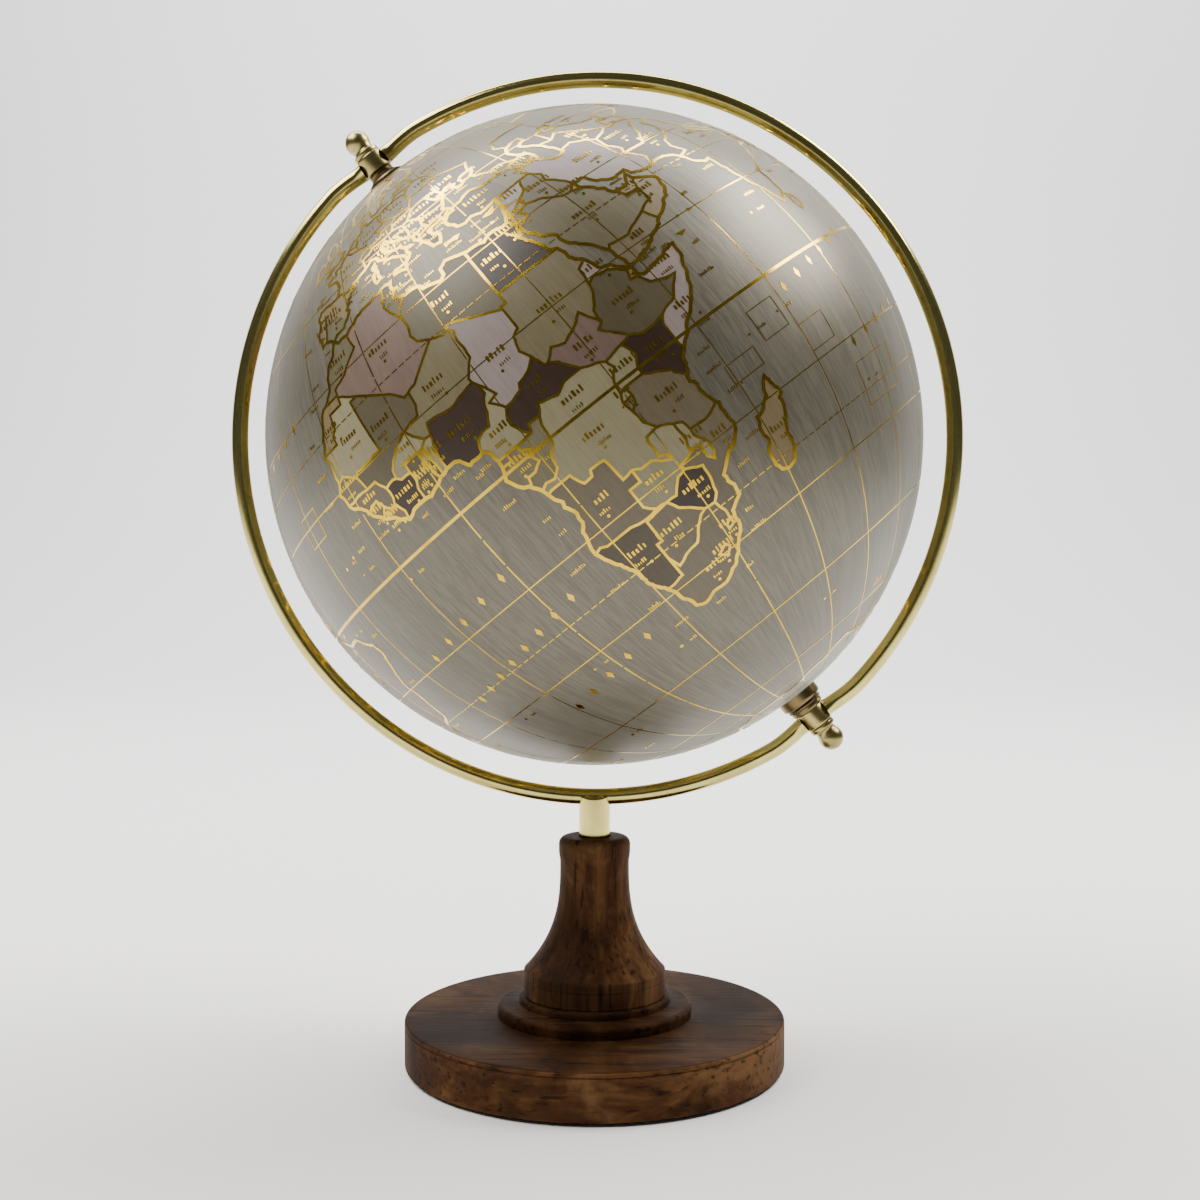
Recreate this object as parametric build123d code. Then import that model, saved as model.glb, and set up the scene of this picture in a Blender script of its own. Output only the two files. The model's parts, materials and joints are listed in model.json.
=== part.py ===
"""Desktop globe on a turned wooden stand.

A hollow ball turns on a steel axle. The axle is held in the two bosses of a full brass ring, and
the ring stands on a short stem in a turned spindle on a round base. The origin is the centre of
the base's underside, +Z is up, and the ring lies in the XZ plane. Lengths are in millimetres.
"""

from build123d import *
import math
import os

# ---- driving dimensions -------------------------------------------------------------------------
GLOBE_R = 101.6  # an 8 inch ball
SHELL_WALL = 2.2
AXIS_TILT = 38.6  # degrees the axle leans from vertical, towards -X
RING_R = 112.3  # centreline of the ring
RING_TUBE_R = 2.6
RING_Z = 197.0  # height of the ball's and the ring's centre
PIVOT_R = 110.6  # the hoops are drawn in to this radius where they meet the bosses
DRAWN_IN = 9.0  # degrees either side of a boss over which they are drawn in

BASE_R = 60.0
BASE_BOTTOM_Z = 1.0
BASE_TOP_Z = 15.5
FELT_R = 57.0
STEP_R, STEP_TOP_Z = 30.7, 19.6  # broad moulding on the base
BEAD_R, BEAD_TOP_Z = 24.0, 22.2  # narrow moulding above it
BAND_R, BAND_TOP_Z = 22.4, 30.4  # straight foot of the spindle
NECK_R, NECK_Z = 10.9, 64.0  # slimmest place of the spindle
SPINDLE_TOP_Z = 72.3
COVE_POWER = 2.8  # how sharply the spindle flares into its foot

TENON_R, TENON_Z = 10.0, 16.2  # foot of the spindle in the base
POCKET_R, POCKET_TOP_Z = 11.0, 9.5  # for the nut, under the base

STEM_R = 5.0
STEM_SOCKET = 12.0  # depth of the stem in the wood
ROD_R = 3.0
ROD_BOTTOM_Z, ROD_TOP_Z = 1.8, 78.5
NUT_ACROSS_FLATS, NUT_HEIGHT = 10.0, 5.0
WASHER_R, WASHER_THICKNESS = 9.0, 1.6
NUT_Z = POCKET_TOP_Z - WASHER_THICKNESS - NUT_HEIGHT

CAP_R, CAP_ROUNDING = 6.8, 1.4
BUSH_R, BUSH_FLANGE_R = 5.0, 9.0
JOINER_HALF_HEIGHT, JOINER_WALL = 6.0, 1.6

AXLE_R = 2.0
RUN_FIT = 0.05  # radial clearance of a hole on its shaft
CLEAR_FIT = 0.4

# ---- stations along the axle, from the ball's centre --------------------------------------------
CAP_TOP = GLOBE_R + 3.6
END_PLAY = 0.3  # between the turning caps and the fixed washers
WASHER_IN = CAP_TOP + END_PLAY
SPACER_IN = WASHER_IN + 0.6
BOSS_IN = PIVOT_R - 2.8
BOSS_OUT = PIVOT_R + 3.2
BOSS_R = 4.5
FLANGE_TOP = BOSS_OUT + 1.7
BALL_R = 3.9
BALL_AT = BOSS_OUT + 5.4
AXLE_END = BOSS_OUT + 4.0

NORTH, SOUTH = 1, -1
WEST, EAST = -1, 1


def in_ball_frame(shape):
    """Puts a shape made about its own Z axis on the tilted axle."""
    return Pos(0, 0, RING_Z) * Rot(0, -AXIS_TILT, 0) * shape


def on_axle(shape, end):
    """Puts a shape made for the north end of the axle on either end."""
    turned = shape if end == NORTH else Rot(180, 0, 0) * shape
    return in_ball_frame(turned)


def rod(radius, low, high):
    """A cylinder about Z between two heights."""
    return Pos(0, 0, low) * Cylinder(
        radius, high - low, align=(Align.CENTER, Align.CENTER, Align.MIN)
    )


def tube(outer, inner, low, high):
    return rod(outer, low, high) - rod(inner, low - 1, high + 1)


def turned(*edges):
    """A solid turned about Z from edges that close an outline in the XZ plane."""
    outline = make_face(Plane.XZ * Wire(list(edges)))
    return revolve(outline, Axis.Z)


def softened(shape, radius, low, high, wider_than):
    """Rounds the circular edges between two heights that are wider than a radius."""
    picked = [
        e
        for e in shape.edges().filter_by(GeomType.CIRCLE)
        if low <= e.arc_center.Z <= high and e.radius > wider_than
    ]
    return fillet(picked, radius)


# ---- stand --------------------------------------------------------------------------------------
def felt_pad():
    """Glued under the base. It hides the nut's pocket."""
    return rod(FELT_R, 0, BASE_BOTTOM_Z)


def base_disc():
    """Turned disc with two mouldings on top, a mortise for the spindle and a pocket for the nut."""
    groove_z = BASE_TOP_Z - 1.5
    disc = rod(BASE_R, BASE_BOTTOM_Z, BASE_TOP_Z)
    disc = softened(disc, 0.9, BASE_TOP_Z - 0.1, BASE_TOP_Z + 0.1, 0)
    disc = softened(disc, 0.6, BASE_BOTTOM_Z - 0.1, BASE_BOTTOM_Z + 0.1, 0)
    disc -= Pos(0, 0, groove_z) * Torus(BASE_R, 0.35)
    step = softened(rod(STEP_R, BASE_TOP_Z, STEP_TOP_Z), 1.6, STEP_TOP_Z - 0.1, STEP_TOP_Z + 0.1, 0)
    bead = softened(rod(BEAD_R, STEP_TOP_Z, BEAD_TOP_Z), 1.1, BEAD_TOP_Z - 0.1, BEAD_TOP_Z + 0.1, 0)
    mortise = rod(TENON_R + RUN_FIT, TENON_Z - 0.2, BEAD_TOP_Z + 1)
    pocket = rod(POCKET_R, 0, POCKET_TOP_Z)
    return disc + step + bead - mortise - pocket - rod(ROD_R + CLEAR_FIT, 0, BEAD_TOP_Z)


def cove_radius(z):
    """Outer radius of the spindle between its slim neck and its foot."""
    share = (NECK_Z - z) / (NECK_Z - BAND_TOP_Z)
    return NECK_R + (BAND_R - NECK_R) * share**COVE_POWER


def spindle():
    """Turned post: a straight foot, a cove up to a slim neck, and a rounded top."""
    lip_r, lip_z, round_r = NECK_R + 0.4, SPINDLE_TOP_Z - 4.6, 2.4
    heights = [BAND_TOP_Z + (NECK_Z - BAND_TOP_Z) * k / 8 for k in range(9)]
    cove = Spline(*[(cove_radius(z), z) for z in heights])
    neck = Spline(
        (NECK_R, NECK_Z), (lip_r, lip_z), tangents=[(0, 1), (0, 1)]
    )
    crown = RadiusArc((lip_r, SPINDLE_TOP_Z - round_r), (lip_r - round_r, SPINDLE_TOP_Z), -round_r)
    body = turned(
        Line((0, BEAD_TOP_Z), (BAND_R, BEAD_TOP_Z)),
        Line((BAND_R, BEAD_TOP_Z), (BAND_R, BAND_TOP_Z)),
        cove,
        neck,
        Line((lip_r, lip_z), (lip_r, SPINDLE_TOP_Z - round_r)),
        crown,
        Line((lip_r - round_r, SPINDLE_TOP_Z), (0, SPINDLE_TOP_Z)),
        Line((0, SPINDLE_TOP_Z), (0, BEAD_TOP_Z)),
    )
    body += rod(TENON_R, TENON_Z, BEAD_TOP_Z)
    socket = rod(STEM_R + RUN_FIT, SPINDLE_TOP_Z - STEM_SOCKET, SPINDLE_TOP_Z + 1)
    return body - socket - rod(ROD_R + CLEAR_FIT, TENON_Z - 1, SPINDLE_TOP_Z)


def ring_stem():
    """Brass stem whose top is saddled to the ring. The tie rod screws into it from below."""
    top = RING_Z - RING_R - RING_TUBE_R + 1.2
    stem = rod(STEM_R, SPINDLE_TOP_Z - STEM_SOCKET, top)
    stem -= rod(ROD_R + RUN_FIT, SPINDLE_TOP_Z - STEM_SOCKET - 1, ROD_TOP_Z + 0.5)
    return stem - in_ball_frame(Rot(90, 0, 0) * Torus(RING_R, RING_TUBE_R))


def tie_rod():
    """Steel rod that pulls the ring, the spindle and the base together."""
    return rod(ROD_R, ROD_BOTTOM_Z, ROD_TOP_Z)


def base_nut():
    hexagon = extrude(RegularPolygon(NUT_ACROSS_FLATS / 2, 6, major_radius=False), NUT_HEIGHT)
    return Pos(0, 0, NUT_Z) * hexagon - rod(ROD_R + RUN_FIT, 0, POCKET_TOP_Z)


def base_washer():
    return tube(WASHER_R, ROD_R + CLEAR_FIT, NUT_Z + NUT_HEIGHT, POCKET_TOP_Z)


# ---- ring ---------------------------------------------------------------------------------------
def ring_half(side):
    """Half a hoop, bent in a little towards the boss at either end, where it is brazed on."""
    turn = math.radians(DRAWN_IN)
    x, z = RING_R * math.sin(turn), RING_R * math.cos(turn)
    bends = [
        Spline((0, PIVOT_R), (x, z), tangents=[(1, 0), (math.cos(turn), -math.sin(turn))]),
        CenterArc((0, 0), RING_R, 90 - DRAWN_IN, 2 * DRAWN_IN - 180),
        Spline((x, -z), (0, -PIVOT_R), tangents=[(-math.cos(turn), -math.sin(turn)), (-1, 0)]),
    ]
    path = Plane.XZ * Wire(bends)
    section = Plane(path @ 0, z_dir=path % 0) * Circle(RING_TUBE_R)
    hoop = in_ball_frame(Rot(0, 0, 0 if side == EAST else 180) * sweep(section, path))
    for end in (NORTH, SOUTH):
        hoop -= on_axle(rod(BOSS_R, BOSS_IN - 2, BOSS_OUT + 2), end)
    return hoop


def boss(end):
    """Turned barrel brazed between the hoops, bored for the axle."""
    barrel = chamfer(rod(BOSS_R, BOSS_IN, BOSS_OUT).edges().filter_by(GeomType.CIRCLE), 0.5)
    return on_axle(barrel - rod(AXLE_R + RUN_FIT, BOSS_IN - 1, BOSS_OUT + 1), end)


def axle():
    return in_ball_frame(rod(AXLE_R, -AXLE_END, AXLE_END))


def knob(end):
    """Ball-headed nut on the axle's threaded end: a flange, a waist and a ball."""
    flange_r, waist_r = 4.2, 3.2
    flange = rod(flange_r, BOSS_OUT, FLANGE_TOP)
    flange = fillet(flange.edges().filter_by(GeomType.CIRCLE), 0.6)
    waist = rod(waist_r, FLANGE_TOP - 0.5, BALL_AT)
    head = Pos(0, 0, BALL_AT) * Sphere(BALL_R)
    blind = rod(AXLE_R + RUN_FIT, BOSS_OUT - 1, AXLE_END + 0.3)
    return on_axle(flange + waist + head - blind, end)


def spacer(end):
    """Collar that keeps the ball in the middle of the ring. The south one is the broad one."""
    outer = 4.1 if end == NORTH else 5.5
    return on_axle(tube(outer, AXLE_R + RUN_FIT, SPACER_IN, BOSS_IN), end)


def thrust_washer(end):
    outer = 4.7 if end == NORTH else 6.0
    return on_axle(tube(outer, AXLE_R + RUN_FIT, WASHER_IN, SPACER_IN), end)


# ---- ball ---------------------------------------------------------------------------------------
def shell(end):
    """Moulded half of the ball, open at its pole for the bush."""
    ball = Sphere(GLOBE_R) - Sphere(GLOBE_R - SHELL_WALL)
    half = ball & rod(GLOBE_R + 1, 0, GLOBE_R + 1)
    return on_axle(half - rod(BUSH_R, GLOBE_R / 2, GLOBE_R + 1), end)


def equator_joiner():
    """Band glued inside the seam of the two halves."""
    inner_r = GLOBE_R - SHELL_WALL
    low = -JOINER_HALF_HEIGHT
    high = JOINER_HALF_HEIGHT
    band = Sphere(inner_r - 0.05) & rod(inner_r, low, high)
    return in_ball_frame(band - rod(inner_r - JOINER_WALL, low - 1, high + 1))


def pole_cap(end):
    """Domed washer on the pole. Its underside follows the ball."""
    rim = math.sqrt(GLOBE_R**2 - CAP_R**2)
    dome = rod(CAP_R, rim - 0.5, CAP_TOP)
    top_edge = dome.edges().filter_by(GeomType.CIRCLE).sort_by(Axis.Z)[-1]
    dome = fillet([top_edge], CAP_ROUNDING)
    return on_axle(dome - Sphere(GLOBE_R) - rod(AXLE_R + CLEAR_FIT, rim - 1, CAP_TOP + 1), end)


def pole_bush(end):
    """Flanged bush that runs on the axle, fitted from inside the shell."""
    inside = GLOBE_R - SHELL_WALL
    flange = rod(BUSH_FLANGE_R, inside - 5, inside) & Sphere(inside - 0.02)
    body = rod(BUSH_R, inside - 5, GLOBE_R + 1) & Sphere(GLOBE_R - 0.02)
    return on_axle(flange + body - rod(AXLE_R + RUN_FIT, inside - 6, GLOBE_R + 2), end)


def nodes():
    """Every separate piece, by the name of its node."""
    made = {
        "felt_pad": felt_pad(),
        "base_disc": base_disc(),
        "base_nut": base_nut(),
        "base_washer": base_washer(),
        "tie_rod": tie_rod(),
        "spindle": spindle(),
        "ring_stem": ring_stem(),
        "ring_half_west": ring_half(WEST),
        "ring_half_east": ring_half(EAST),
        "axle": axle(),
        "equator_joiner": equator_joiner(),
    }
    for name, end in (("north", NORTH), ("south", SOUTH)):
        made[f"{name}_boss"] = boss(end)
        made[f"{name}_knob"] = knob(end)
        made[f"{name}_spacer"] = spacer(end)
        made[f"{name}_thrust_washer"] = thrust_washer(end)
        made[f"{name}_shell"] = shell(end)
        made[f"{name}_pole_cap"] = pole_cap(end)
        made[f"{name}_pole_bush"] = pole_bush(end)
    return made


os.makedirs("parts", exist_ok=True)
for node, shape in nodes().items():
    export_step(shape, f"parts/{node}.step")
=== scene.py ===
"""The looks of the desktop globe: turned wood, brass, and a ball with a printed and foiled map.

Lengths are in metres, except where a name or a comment says millimetres. Profiles of turned pieces
are in millimetres, as (radius, height) pairs.
"""

import heapq
import json
import math
import random

import bpy
import numpy as np
from mathutils import Matrix, Vector
from mathutils.geometry import delaunay_2d_cdt
from mathutils.kdtree import KDTree


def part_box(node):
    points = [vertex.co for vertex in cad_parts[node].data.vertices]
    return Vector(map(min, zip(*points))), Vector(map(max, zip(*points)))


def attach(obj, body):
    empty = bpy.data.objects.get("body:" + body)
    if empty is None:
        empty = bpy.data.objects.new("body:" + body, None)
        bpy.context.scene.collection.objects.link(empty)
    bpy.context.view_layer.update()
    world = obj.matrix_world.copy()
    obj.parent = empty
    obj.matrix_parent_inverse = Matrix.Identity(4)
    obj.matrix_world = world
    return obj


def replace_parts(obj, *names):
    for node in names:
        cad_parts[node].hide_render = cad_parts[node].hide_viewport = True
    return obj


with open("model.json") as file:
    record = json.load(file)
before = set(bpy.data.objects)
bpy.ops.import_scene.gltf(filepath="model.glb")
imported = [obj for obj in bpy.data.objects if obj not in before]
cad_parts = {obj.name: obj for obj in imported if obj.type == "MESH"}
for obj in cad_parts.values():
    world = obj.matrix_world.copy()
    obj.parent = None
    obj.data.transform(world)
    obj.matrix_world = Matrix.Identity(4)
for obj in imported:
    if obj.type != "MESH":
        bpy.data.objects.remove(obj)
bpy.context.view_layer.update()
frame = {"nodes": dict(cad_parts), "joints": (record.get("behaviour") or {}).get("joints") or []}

MM = 0.001
SPIN = frame["joints"][0]
AXLE = Vector(SPIN["axis"]).normalized()  # towards the ball's north pole
CENTRE = Vector(SPIN["pos_m"])
BALL_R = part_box("north_shell")[1].y  # the highest that the foil stands
FACING_LONGITUDE = 22.84  # degrees; the meridian that faces the front, -Y

# ---- the CAD's driving dimensions, in millimetres -----------------------------------------------
GLOBE_R = 101.6
RING_R = 112.3  # centreline of the ring
RING_TUBE_R = 2.6
PIVOT_R = 110.6  # the hoops are drawn in to this radius where they meet the bosses
DRAWN_IN = 9.0  # degrees either side of a boss over which they are drawn in
HOOP_END_X = 4.0  # the hoops start this far from the axle

BASE_R, BASE_TOP_Z = 60.0, 15.5
STEP_R, STEP_TOP_Z = 30.7, 19.6  # broad moulding on the base
BEAD_R, BEAD_TOP_Z = 24.0, 22.2  # narrow moulding above it
BAND_R, BAND_TOP_Z = 22.4, 30.4  # straight foot of the spindle
NECK_R, NECK_Z = 10.9, 64.0  # slimmest place of the spindle
LIP_R = 11.3  # crown of the spindle
COVE_POWER = 2.8  # how sharply the spindle flares into its foot
TENON_R, TENON_Z = 10.0, 16.2  # foot of the spindle in the base
MORTISE_R, MORTISE_Z = 10.05, 16.0
ROD_HOLE_R = 3.4
POCKET_R, POCKET_TOP_Z = 11.0, 9.5  # for the nut, under the base
SOCKET_R, SOCKET_Z = 5.05, 60.3  # for the stem, in the spindle
FELT_R, FELT_EDGE = 57.0, 0.3
STEM_R, STEM_BORE_R = 4.9, 3.05

# stations along the axle, from the ball's centre
CAP_TOP = GLOBE_R + 3.6
WASHER_IN = CAP_TOP + 0.3
SPACER_IN = WASHER_IN + 0.6
BOSS_IN, BOSS_OUT = PIVOT_R - 2.8, PIVOT_R + 3.2
FLANGE_TOP = BOSS_OUT + 1.7
BALL_AT = BOSS_OUT + 5.4
KNOB_FLOOR = BOSS_OUT + 4.3  # bottom of the knob's threaded hole
BORE_R = 2.05
BOSS_R, KNOB_R = 4.5, 3.9
CAP_R, CAP_ROUNDING = 6.8, 1.4

# ---- how the photograph was taken ---------------------------------------------------------------
CAMERA_DISTANCE = 0.5223  # from the ring's centre
CAMERA_AZIMUTH = 2.38  # degrees round from the front, towards +X
CAMERA_ELEVATION = -3.55  # degrees above the ring's centre
CAMERA_PITCH = 1.95  # degrees down
CAMERA_YAW = 0.19  # degrees to the right of the ring's centre
CAMERA_LENS, CAMERA_SENSOR = 49.65, 36.0  # mm

# ---- the printed map ----------------------------------------------------------------------------
# outlines of land and lakes, as "longitude,latitude" pairs in degrees
COASTS = {
    "africa": """
        -5.9,35.8 -5.3,35.9 -4.4,35.2 -2.9,35.3 -2,35.1 -1,35.7 1.5,36.5 3,36.8 5.1,36.8 6.4,37.1 7.8,36.9
        9.8,37.3 10.3,37 11,37.1 10.6,36.4 10.6,35.6 11.1,35.2 10.1,34.3 10.2,33.8 11.1,33.3 12.3,32.8
        14.2,32.7 15.3,32.3 15.7,31.4 17.5,30.9 19,30.3 20,30.9 20.1,32.2 21.6,32.9 23.1,32.4 25,31.7
        27.2,31.4 28.9,30.9 30.3,31.5 31.5,31.5 32.3,31.3 33.8,31.1 34.2,31.3 34.9,29.5 34.3,27.8 33.2,28.6
        32.6,29.9 32.7,29.2 33.6,27.8 34.3,26.2 35.5,24 35.6,22.9 36.9,22 37.3,20.8 37.2,19.6 38.5,18.1
        39,16.9 39.7,15.1 41.2,14.6 43.1,12.7 43.3,11.6 42.8,11.5 44,10.5 45.8,10.8 48,11.1 50.7,11.9
        51.3,11.8 51,10.5 50.8,9.4 49.8,8 49,6.3 48,4.5 46.1,2.5 44,1 42,-1 41,-2 40.2,-2.7 39.6,-4.4
        38.8,-6 39.5,-7 39.3,-8 40,-10.1 40.6,-11 40.5,-12.6 40.8,-14.7 39.8,-16.4 37.6,-17.6 36.2,-18.8
        34.9,-19.9 35.5,-22.1 35.4,-23.8 33,-25.2 32.7,-26.1 32.9,-27.2 32.2,-28.7 31,-29.9 30,-31.3
        28.2,-32.8 25.9,-33.9 23.4,-34.1 21.6,-34.4 20,-34.8 18.8,-34.3 18.4,-34.1 18.2,-32.7 17.3,-30.5
        16.5,-28.6 15.3,-27 14.9,-25.2 14.5,-22.8 13.6,-20.9 12.3,-18.7 11.8,-17.2 12.1,-15.5 12.6,-13.5
        13.6,-12.3 13.8,-10.8 13,-9 13.3,-8.2 12.3,-6.1 11.8,-4.6 9.7,-2.5 8.8,-0.7 9.4,0.5 9.7,2.2 9.6,3.6
        8.6,4.7 7.2,4.5 6,4.4 5,5.9 4.3,6.3 2.6,6.3 1.1,6 -0.7,5.3 -2,4.8 -3.3,5.1 -5.5,5.1 -7.6,4.4
        -9.2,5.5 -11.4,6.9 -13.2,8.6 -13.7,9.7 -15,11 -16.7,12.4 -16.8,13.3 -17.5,14.7 -16.5,16 -16.3,18.8
        -16.3,19.8 -17,21 -16.2,22.5 -15.9,23.7 -14.9,25 -14.4,26.3 -13.2,27.7 -11.5,28.2 -10,29.6 -9.7,31.5
        -8.5,33.3 -6.8,34.1 -5.9,35.8
    """,
    "eurasia": """
        -5.6,36 -6.3,36.7 -7.4,37.2 -8.9,37 -8.8,38.5 -9.5,38.8 -8.7,41 -8.9,43 -8,43.7 -4.5,43.4 -1.8,43.4
        -1.3,44.6 -1.2,46 -2.2,47.2 -4.5,47.9 -4.7,48.5 -3,48.8 -1.6,48.7 -1.8,49.7 0.2,49.5 1.6,50.7
        3.5,51.4 4.6,52.9 6.9,53.4 8.5,53.8 8.7,54.9 8.1,56.6 9.6,57.2 10.6,57.7 10.4,56.5 9.8,55.2 10.9,54
        13,54.4 14.3,53.9 16.5,54.5 18.7,54.6 19.8,54.5 21.1,55.6 21.5,57.4 24.3,57.3 23.6,58.5 24.5,59.4
        28,59.5 30,59.9 28.5,60.5 25,60.1 22.9,59.9 21.3,60.8 21.5,62.8 24.5,64.8 24,65.8 22.2,65.6
        21.3,64.4 17.3,61.7 17.2,60.7 18.9,59.8 17.2,58.6 16.5,57 15.9,56.1 14.3,55.5 12.9,55.5 12.4,56.4
        11.3,58.9 10.6,59.4 9.5,58.9 8,58.1 6,58.3 5.3,59.3 5,61.5 6.5,62.6 9,63.6 10.8,64.5 12.7,66.2
        14.5,67.5 16.5,68.5 19,69.7 22,70.3 25.7,71.1 28.5,71 31,70.4 33,69.4 36,69.1 40.9,67.5 40,66.3
        33,66.7 34.5,64.6 37.5,63.9 38,64.8 40.4,64.6 39.8,65.6 42.1,66.5 44,66.1 44.2,68.3 46.5,66.9
        48.5,67.7 54.5,68.2 59.9,68.4 60.9,69.8 64.5,69.3 68.5,68.3 66.9,70 66.8,71.2 68.5,72.8 72.8,72.2
        72,70.8 73.8,68.4 71.3,66.3 74.2,67.6 74.5,69 73.8,70.5 75,72.3 78,72.3 80.5,73.6 86.5,74 87,75.1
        98,76.3 104.3,77.7 112,76.5 113.5,75.3 109,74.2 113,73.9 118.5,73.1 123.5,73.2 129,71.3 131.5,71
        133,71.9 139.5,71.6 140,72.6 146,72.4 150.5,71.6 152.8,70.9 159,70.9 161,69.5 167.8,69.7 176,69.8
        184,67.9 190,66 187,64.4 181.5,65.5 177.4,64.7 179.2,62.5 174.5,61.8 170.3,60 163.2,57.7 161.9,55.1
        159.8,53.2 156.7,51.1 155.5,57 159.8,60.9 163.7,62.5 156.5,61.6 154.5,59.6 142,59.2 135.2,54.8
        141.2,53.1 140.5,49 135.5,44.3 133,42.8 130.7,42.3 129.7,41 127.5,39.7 129.4,37 129.3,35.3
        126.5,34.4 126.2,36.5 125,38 124.3,39.9 121.3,38.9 122,40.6 119,39.2 119,37.3 122.5,37.2 119.3,35
        121.9,31.5 121.8,29.2 119.8,25.8 116.7,23.2 113.6,22.2 110.4,21.2 109.6,21.6 108,21.5 105.7,18.8
        108.3,16.1 109.3,12.9 106.7,9.3 104.8,8.6 105,10.2 102.5,12.2 100.9,13.4 100,13.3 99.2,10.5 100.4,8
        102,6.4 103.4,4.2 104.2,1.4 103.4,1.4 101.3,3 100,6.4 98.4,8.2 98.7,10.4 98,13.5 97.6,16.5 95.4,15.8
        94.4,16.3 94.3,18.7 92.2,21 91.8,22.5 90.4,22 88.9,21.7 87,21.4 86.4,19.9 82.3,16.6 80.2,15.2
        80.2,13.2 79.8,10.3 78.2,8.9 77.5,8.1 76.3,10.2 74.8,13 73.4,16.5 72.8,19.2 72.7,21 71,20.8 69,22.3
        68.2,23.7 66.7,25 62,25.1 57.3,25.8 57,27 54.5,26.6 51.5,27.9 50.1,30.1 48,30 48.2,28.7 50.1,26.6
        51,26 51.6,24.4 54,24.2 56.3,26.2 56.4,24.9 58.6,23.6 59.8,22.5 57.7,18.9 55.3,17.5 52.2,15.6
        48.7,14 45,12.8 43.5,12.7 42.8,15.2 42.8,16.4 40.9,19.5 39.1,21.3 38.5,23.8 37.2,24.9 35.2,28.1
        34.9,29.5 34.2,31.3 34.8,32.2 35.6,33.9 35.9,35.9 36.1,36.8 34,36.3 32.3,36.1 30.6,36.8 29,36.4
        27.4,36.9 26.4,38.4 26.2,39.5 27.5,40.4 29,40.5 29.1,41.1 31.4,41.3 33.5,42 36.4,41.3 38.5,41
        41.5,41.5 41.2,42.8 38,44.4 37.3,45.3 39.3,47.1 35,46.2 35.3,45.2 36.5,45.3 33.5,44.5 32.7,45.5
        33.5,46.1 31.5,46.7 29.7,45.2 28.7,43.9 27.7,42.6 28.9,41.4 27.5,41 26.6,40.3 26.3,40.1 26.5,40.6
        25.9,40.8 23.8,40.6 22.8,40.5 23,39 24,38.1 23.1,36.5 21.7,36.8 21.1,38.3 19.4,40.7 19.6,41.8
        17.5,43 15.2,44.2 14.2,45 13.7,45.7 12.3,45.2 12.5,44 14,42.6 16.1,41.9 18.5,40.2 16.9,40.5 17.1,39
        15.9,38 16,39.4 13.7,41.2 12.3,41.7 10.5,42.9 10.1,44 8.8,44.4 7.5,43.8 5,43.3 3.1,43.1 3.2,41.9
        0.8,40.8 -0.3,39.4 0.2,38.8 -0.7,37.8 -2.1,36.7 -4.4,36.7 -5.6,36
    """,
    "north_america": """
        -168.1,65.6 -162,66.6 -166.5,68.3 -163,69.6 -156.7,71.3 -150,70.4 -141,69.6 -135,69 -128,70
        -124.5,70 -118,69 -114,68 -109,68 -101,67.8 -96,68.2 -95,71.8 -91.8,69.8 -88,68.8 -85.5,69.8
        -81.5,69.2 -82,66.6 -86.5,66.3 -88,64.2 -93.5,62 -94.8,58.9 -92.3,57 -88,56.5 -82.3,55.1 -82.2,53
        -79,51.5 -78.8,54.8 -76.6,57.2 -78.4,59 -77.5,62.4 -73.7,62.4 -70,61 -66,58.8 -64.6,60.3 -61.5,57
        -57.5,54.6 -56,52.5 -59.5,50.2 -66.5,50.2 -70.5,47.2 -64.5,49 -65,47.2 -61.5,45.8 -60,46.9 -61,45.2
        -65.8,43.6 -66.5,45 -70,43.7 -70,41.8 -74,40.6 -75.5,38 -76,36.9 -75.6,35.2 -78.5,33.8 -81.2,31.5
        -80.1,26.8 -80.9,25.2 -82.7,27.9 -83.7,29.9 -85.2,29.7 -89.5,30.3 -89.3,29.2 -94,29.6 -97.2,27.6
        -97.6,24 -97.7,22 -96,19 -94.2,18.2 -91,18.8 -90.4,21 -87,21.5 -88,18.3 -88.8,15.9 -84,15.8
        -83.3,14.9 -83.6,11 -81.6,9 -79.5,9.6 -77.4,8.6 -77.9,7.3 -79.7,8.8 -80.8,7.4 -83,8.4 -85.7,10
        -87.6,12.9 -91.5,14.1 -94.5,16.2 -99.5,16.7 -105.5,20 -106.5,23.5 -109.5,26.8 -112.8,30.5
        -114.7,31.6 -112,28 -109.5,23.2 -112,25.5 -115,28.5 -117.1,32.5 -120.6,34.5 -122.5,37.5 -124.3,40.4
        -124,46.2 -123,48.5 -127.5,51 -130.5,54.5 -134.5,58 -140,59.8 -147.5,61 -151.5,59.2 -152,60.9
        -156.5,57.3 -163,54.9 -158,57.6 -157.5,58.8 -162,59 -165.5,61.5 -161.5,64.5 -168.1,65.6
    """,
    "south_america": """
        -77.4,8.6 -75.6,10.5 -74.8,11.1 -71.8,12.4 -71.5,10.9 -68.5,11.2 -62,10.7 -60,8.6 -57,6 -54,5.8
        -51.6,4.3 -50,1.7 -50,0.2 -48.5,-0.8 -44.5,-2.8 -40,-2.9 -37,-4.8 -35.2,-5.6 -34.8,-8 -37,-11
        -39,-13.5 -39.2,-17.8 -41,-22 -44.5,-23.2 -48.5,-25.8 -48.8,-28.5 -52,-32.2 -54.9,-34.9 -58.3,-34
        -56.8,-36.5 -58.5,-38.5 -62.2,-38.8 -62.5,-41 -65,-41 -63.6,-42.6 -65.4,-45 -67.5,-46.2 -65.8,-48
        -69,-50.8 -68.3,-52.4 -65.3,-54.8 -69,-55.5 -74.5,-52 -75.5,-47 -73,-42 -73.5,-37.2 -71.5,-32.5
        -70.4,-25.5 -70.3,-18.4 -75.8,-14.8 -79,-8.2 -81.2,-6 -80.3,-3.4 -80.9,-1 -78.8,1.6 -77.3,4
        -77.9,7.3 -77.4,8.6
    """,
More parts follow.
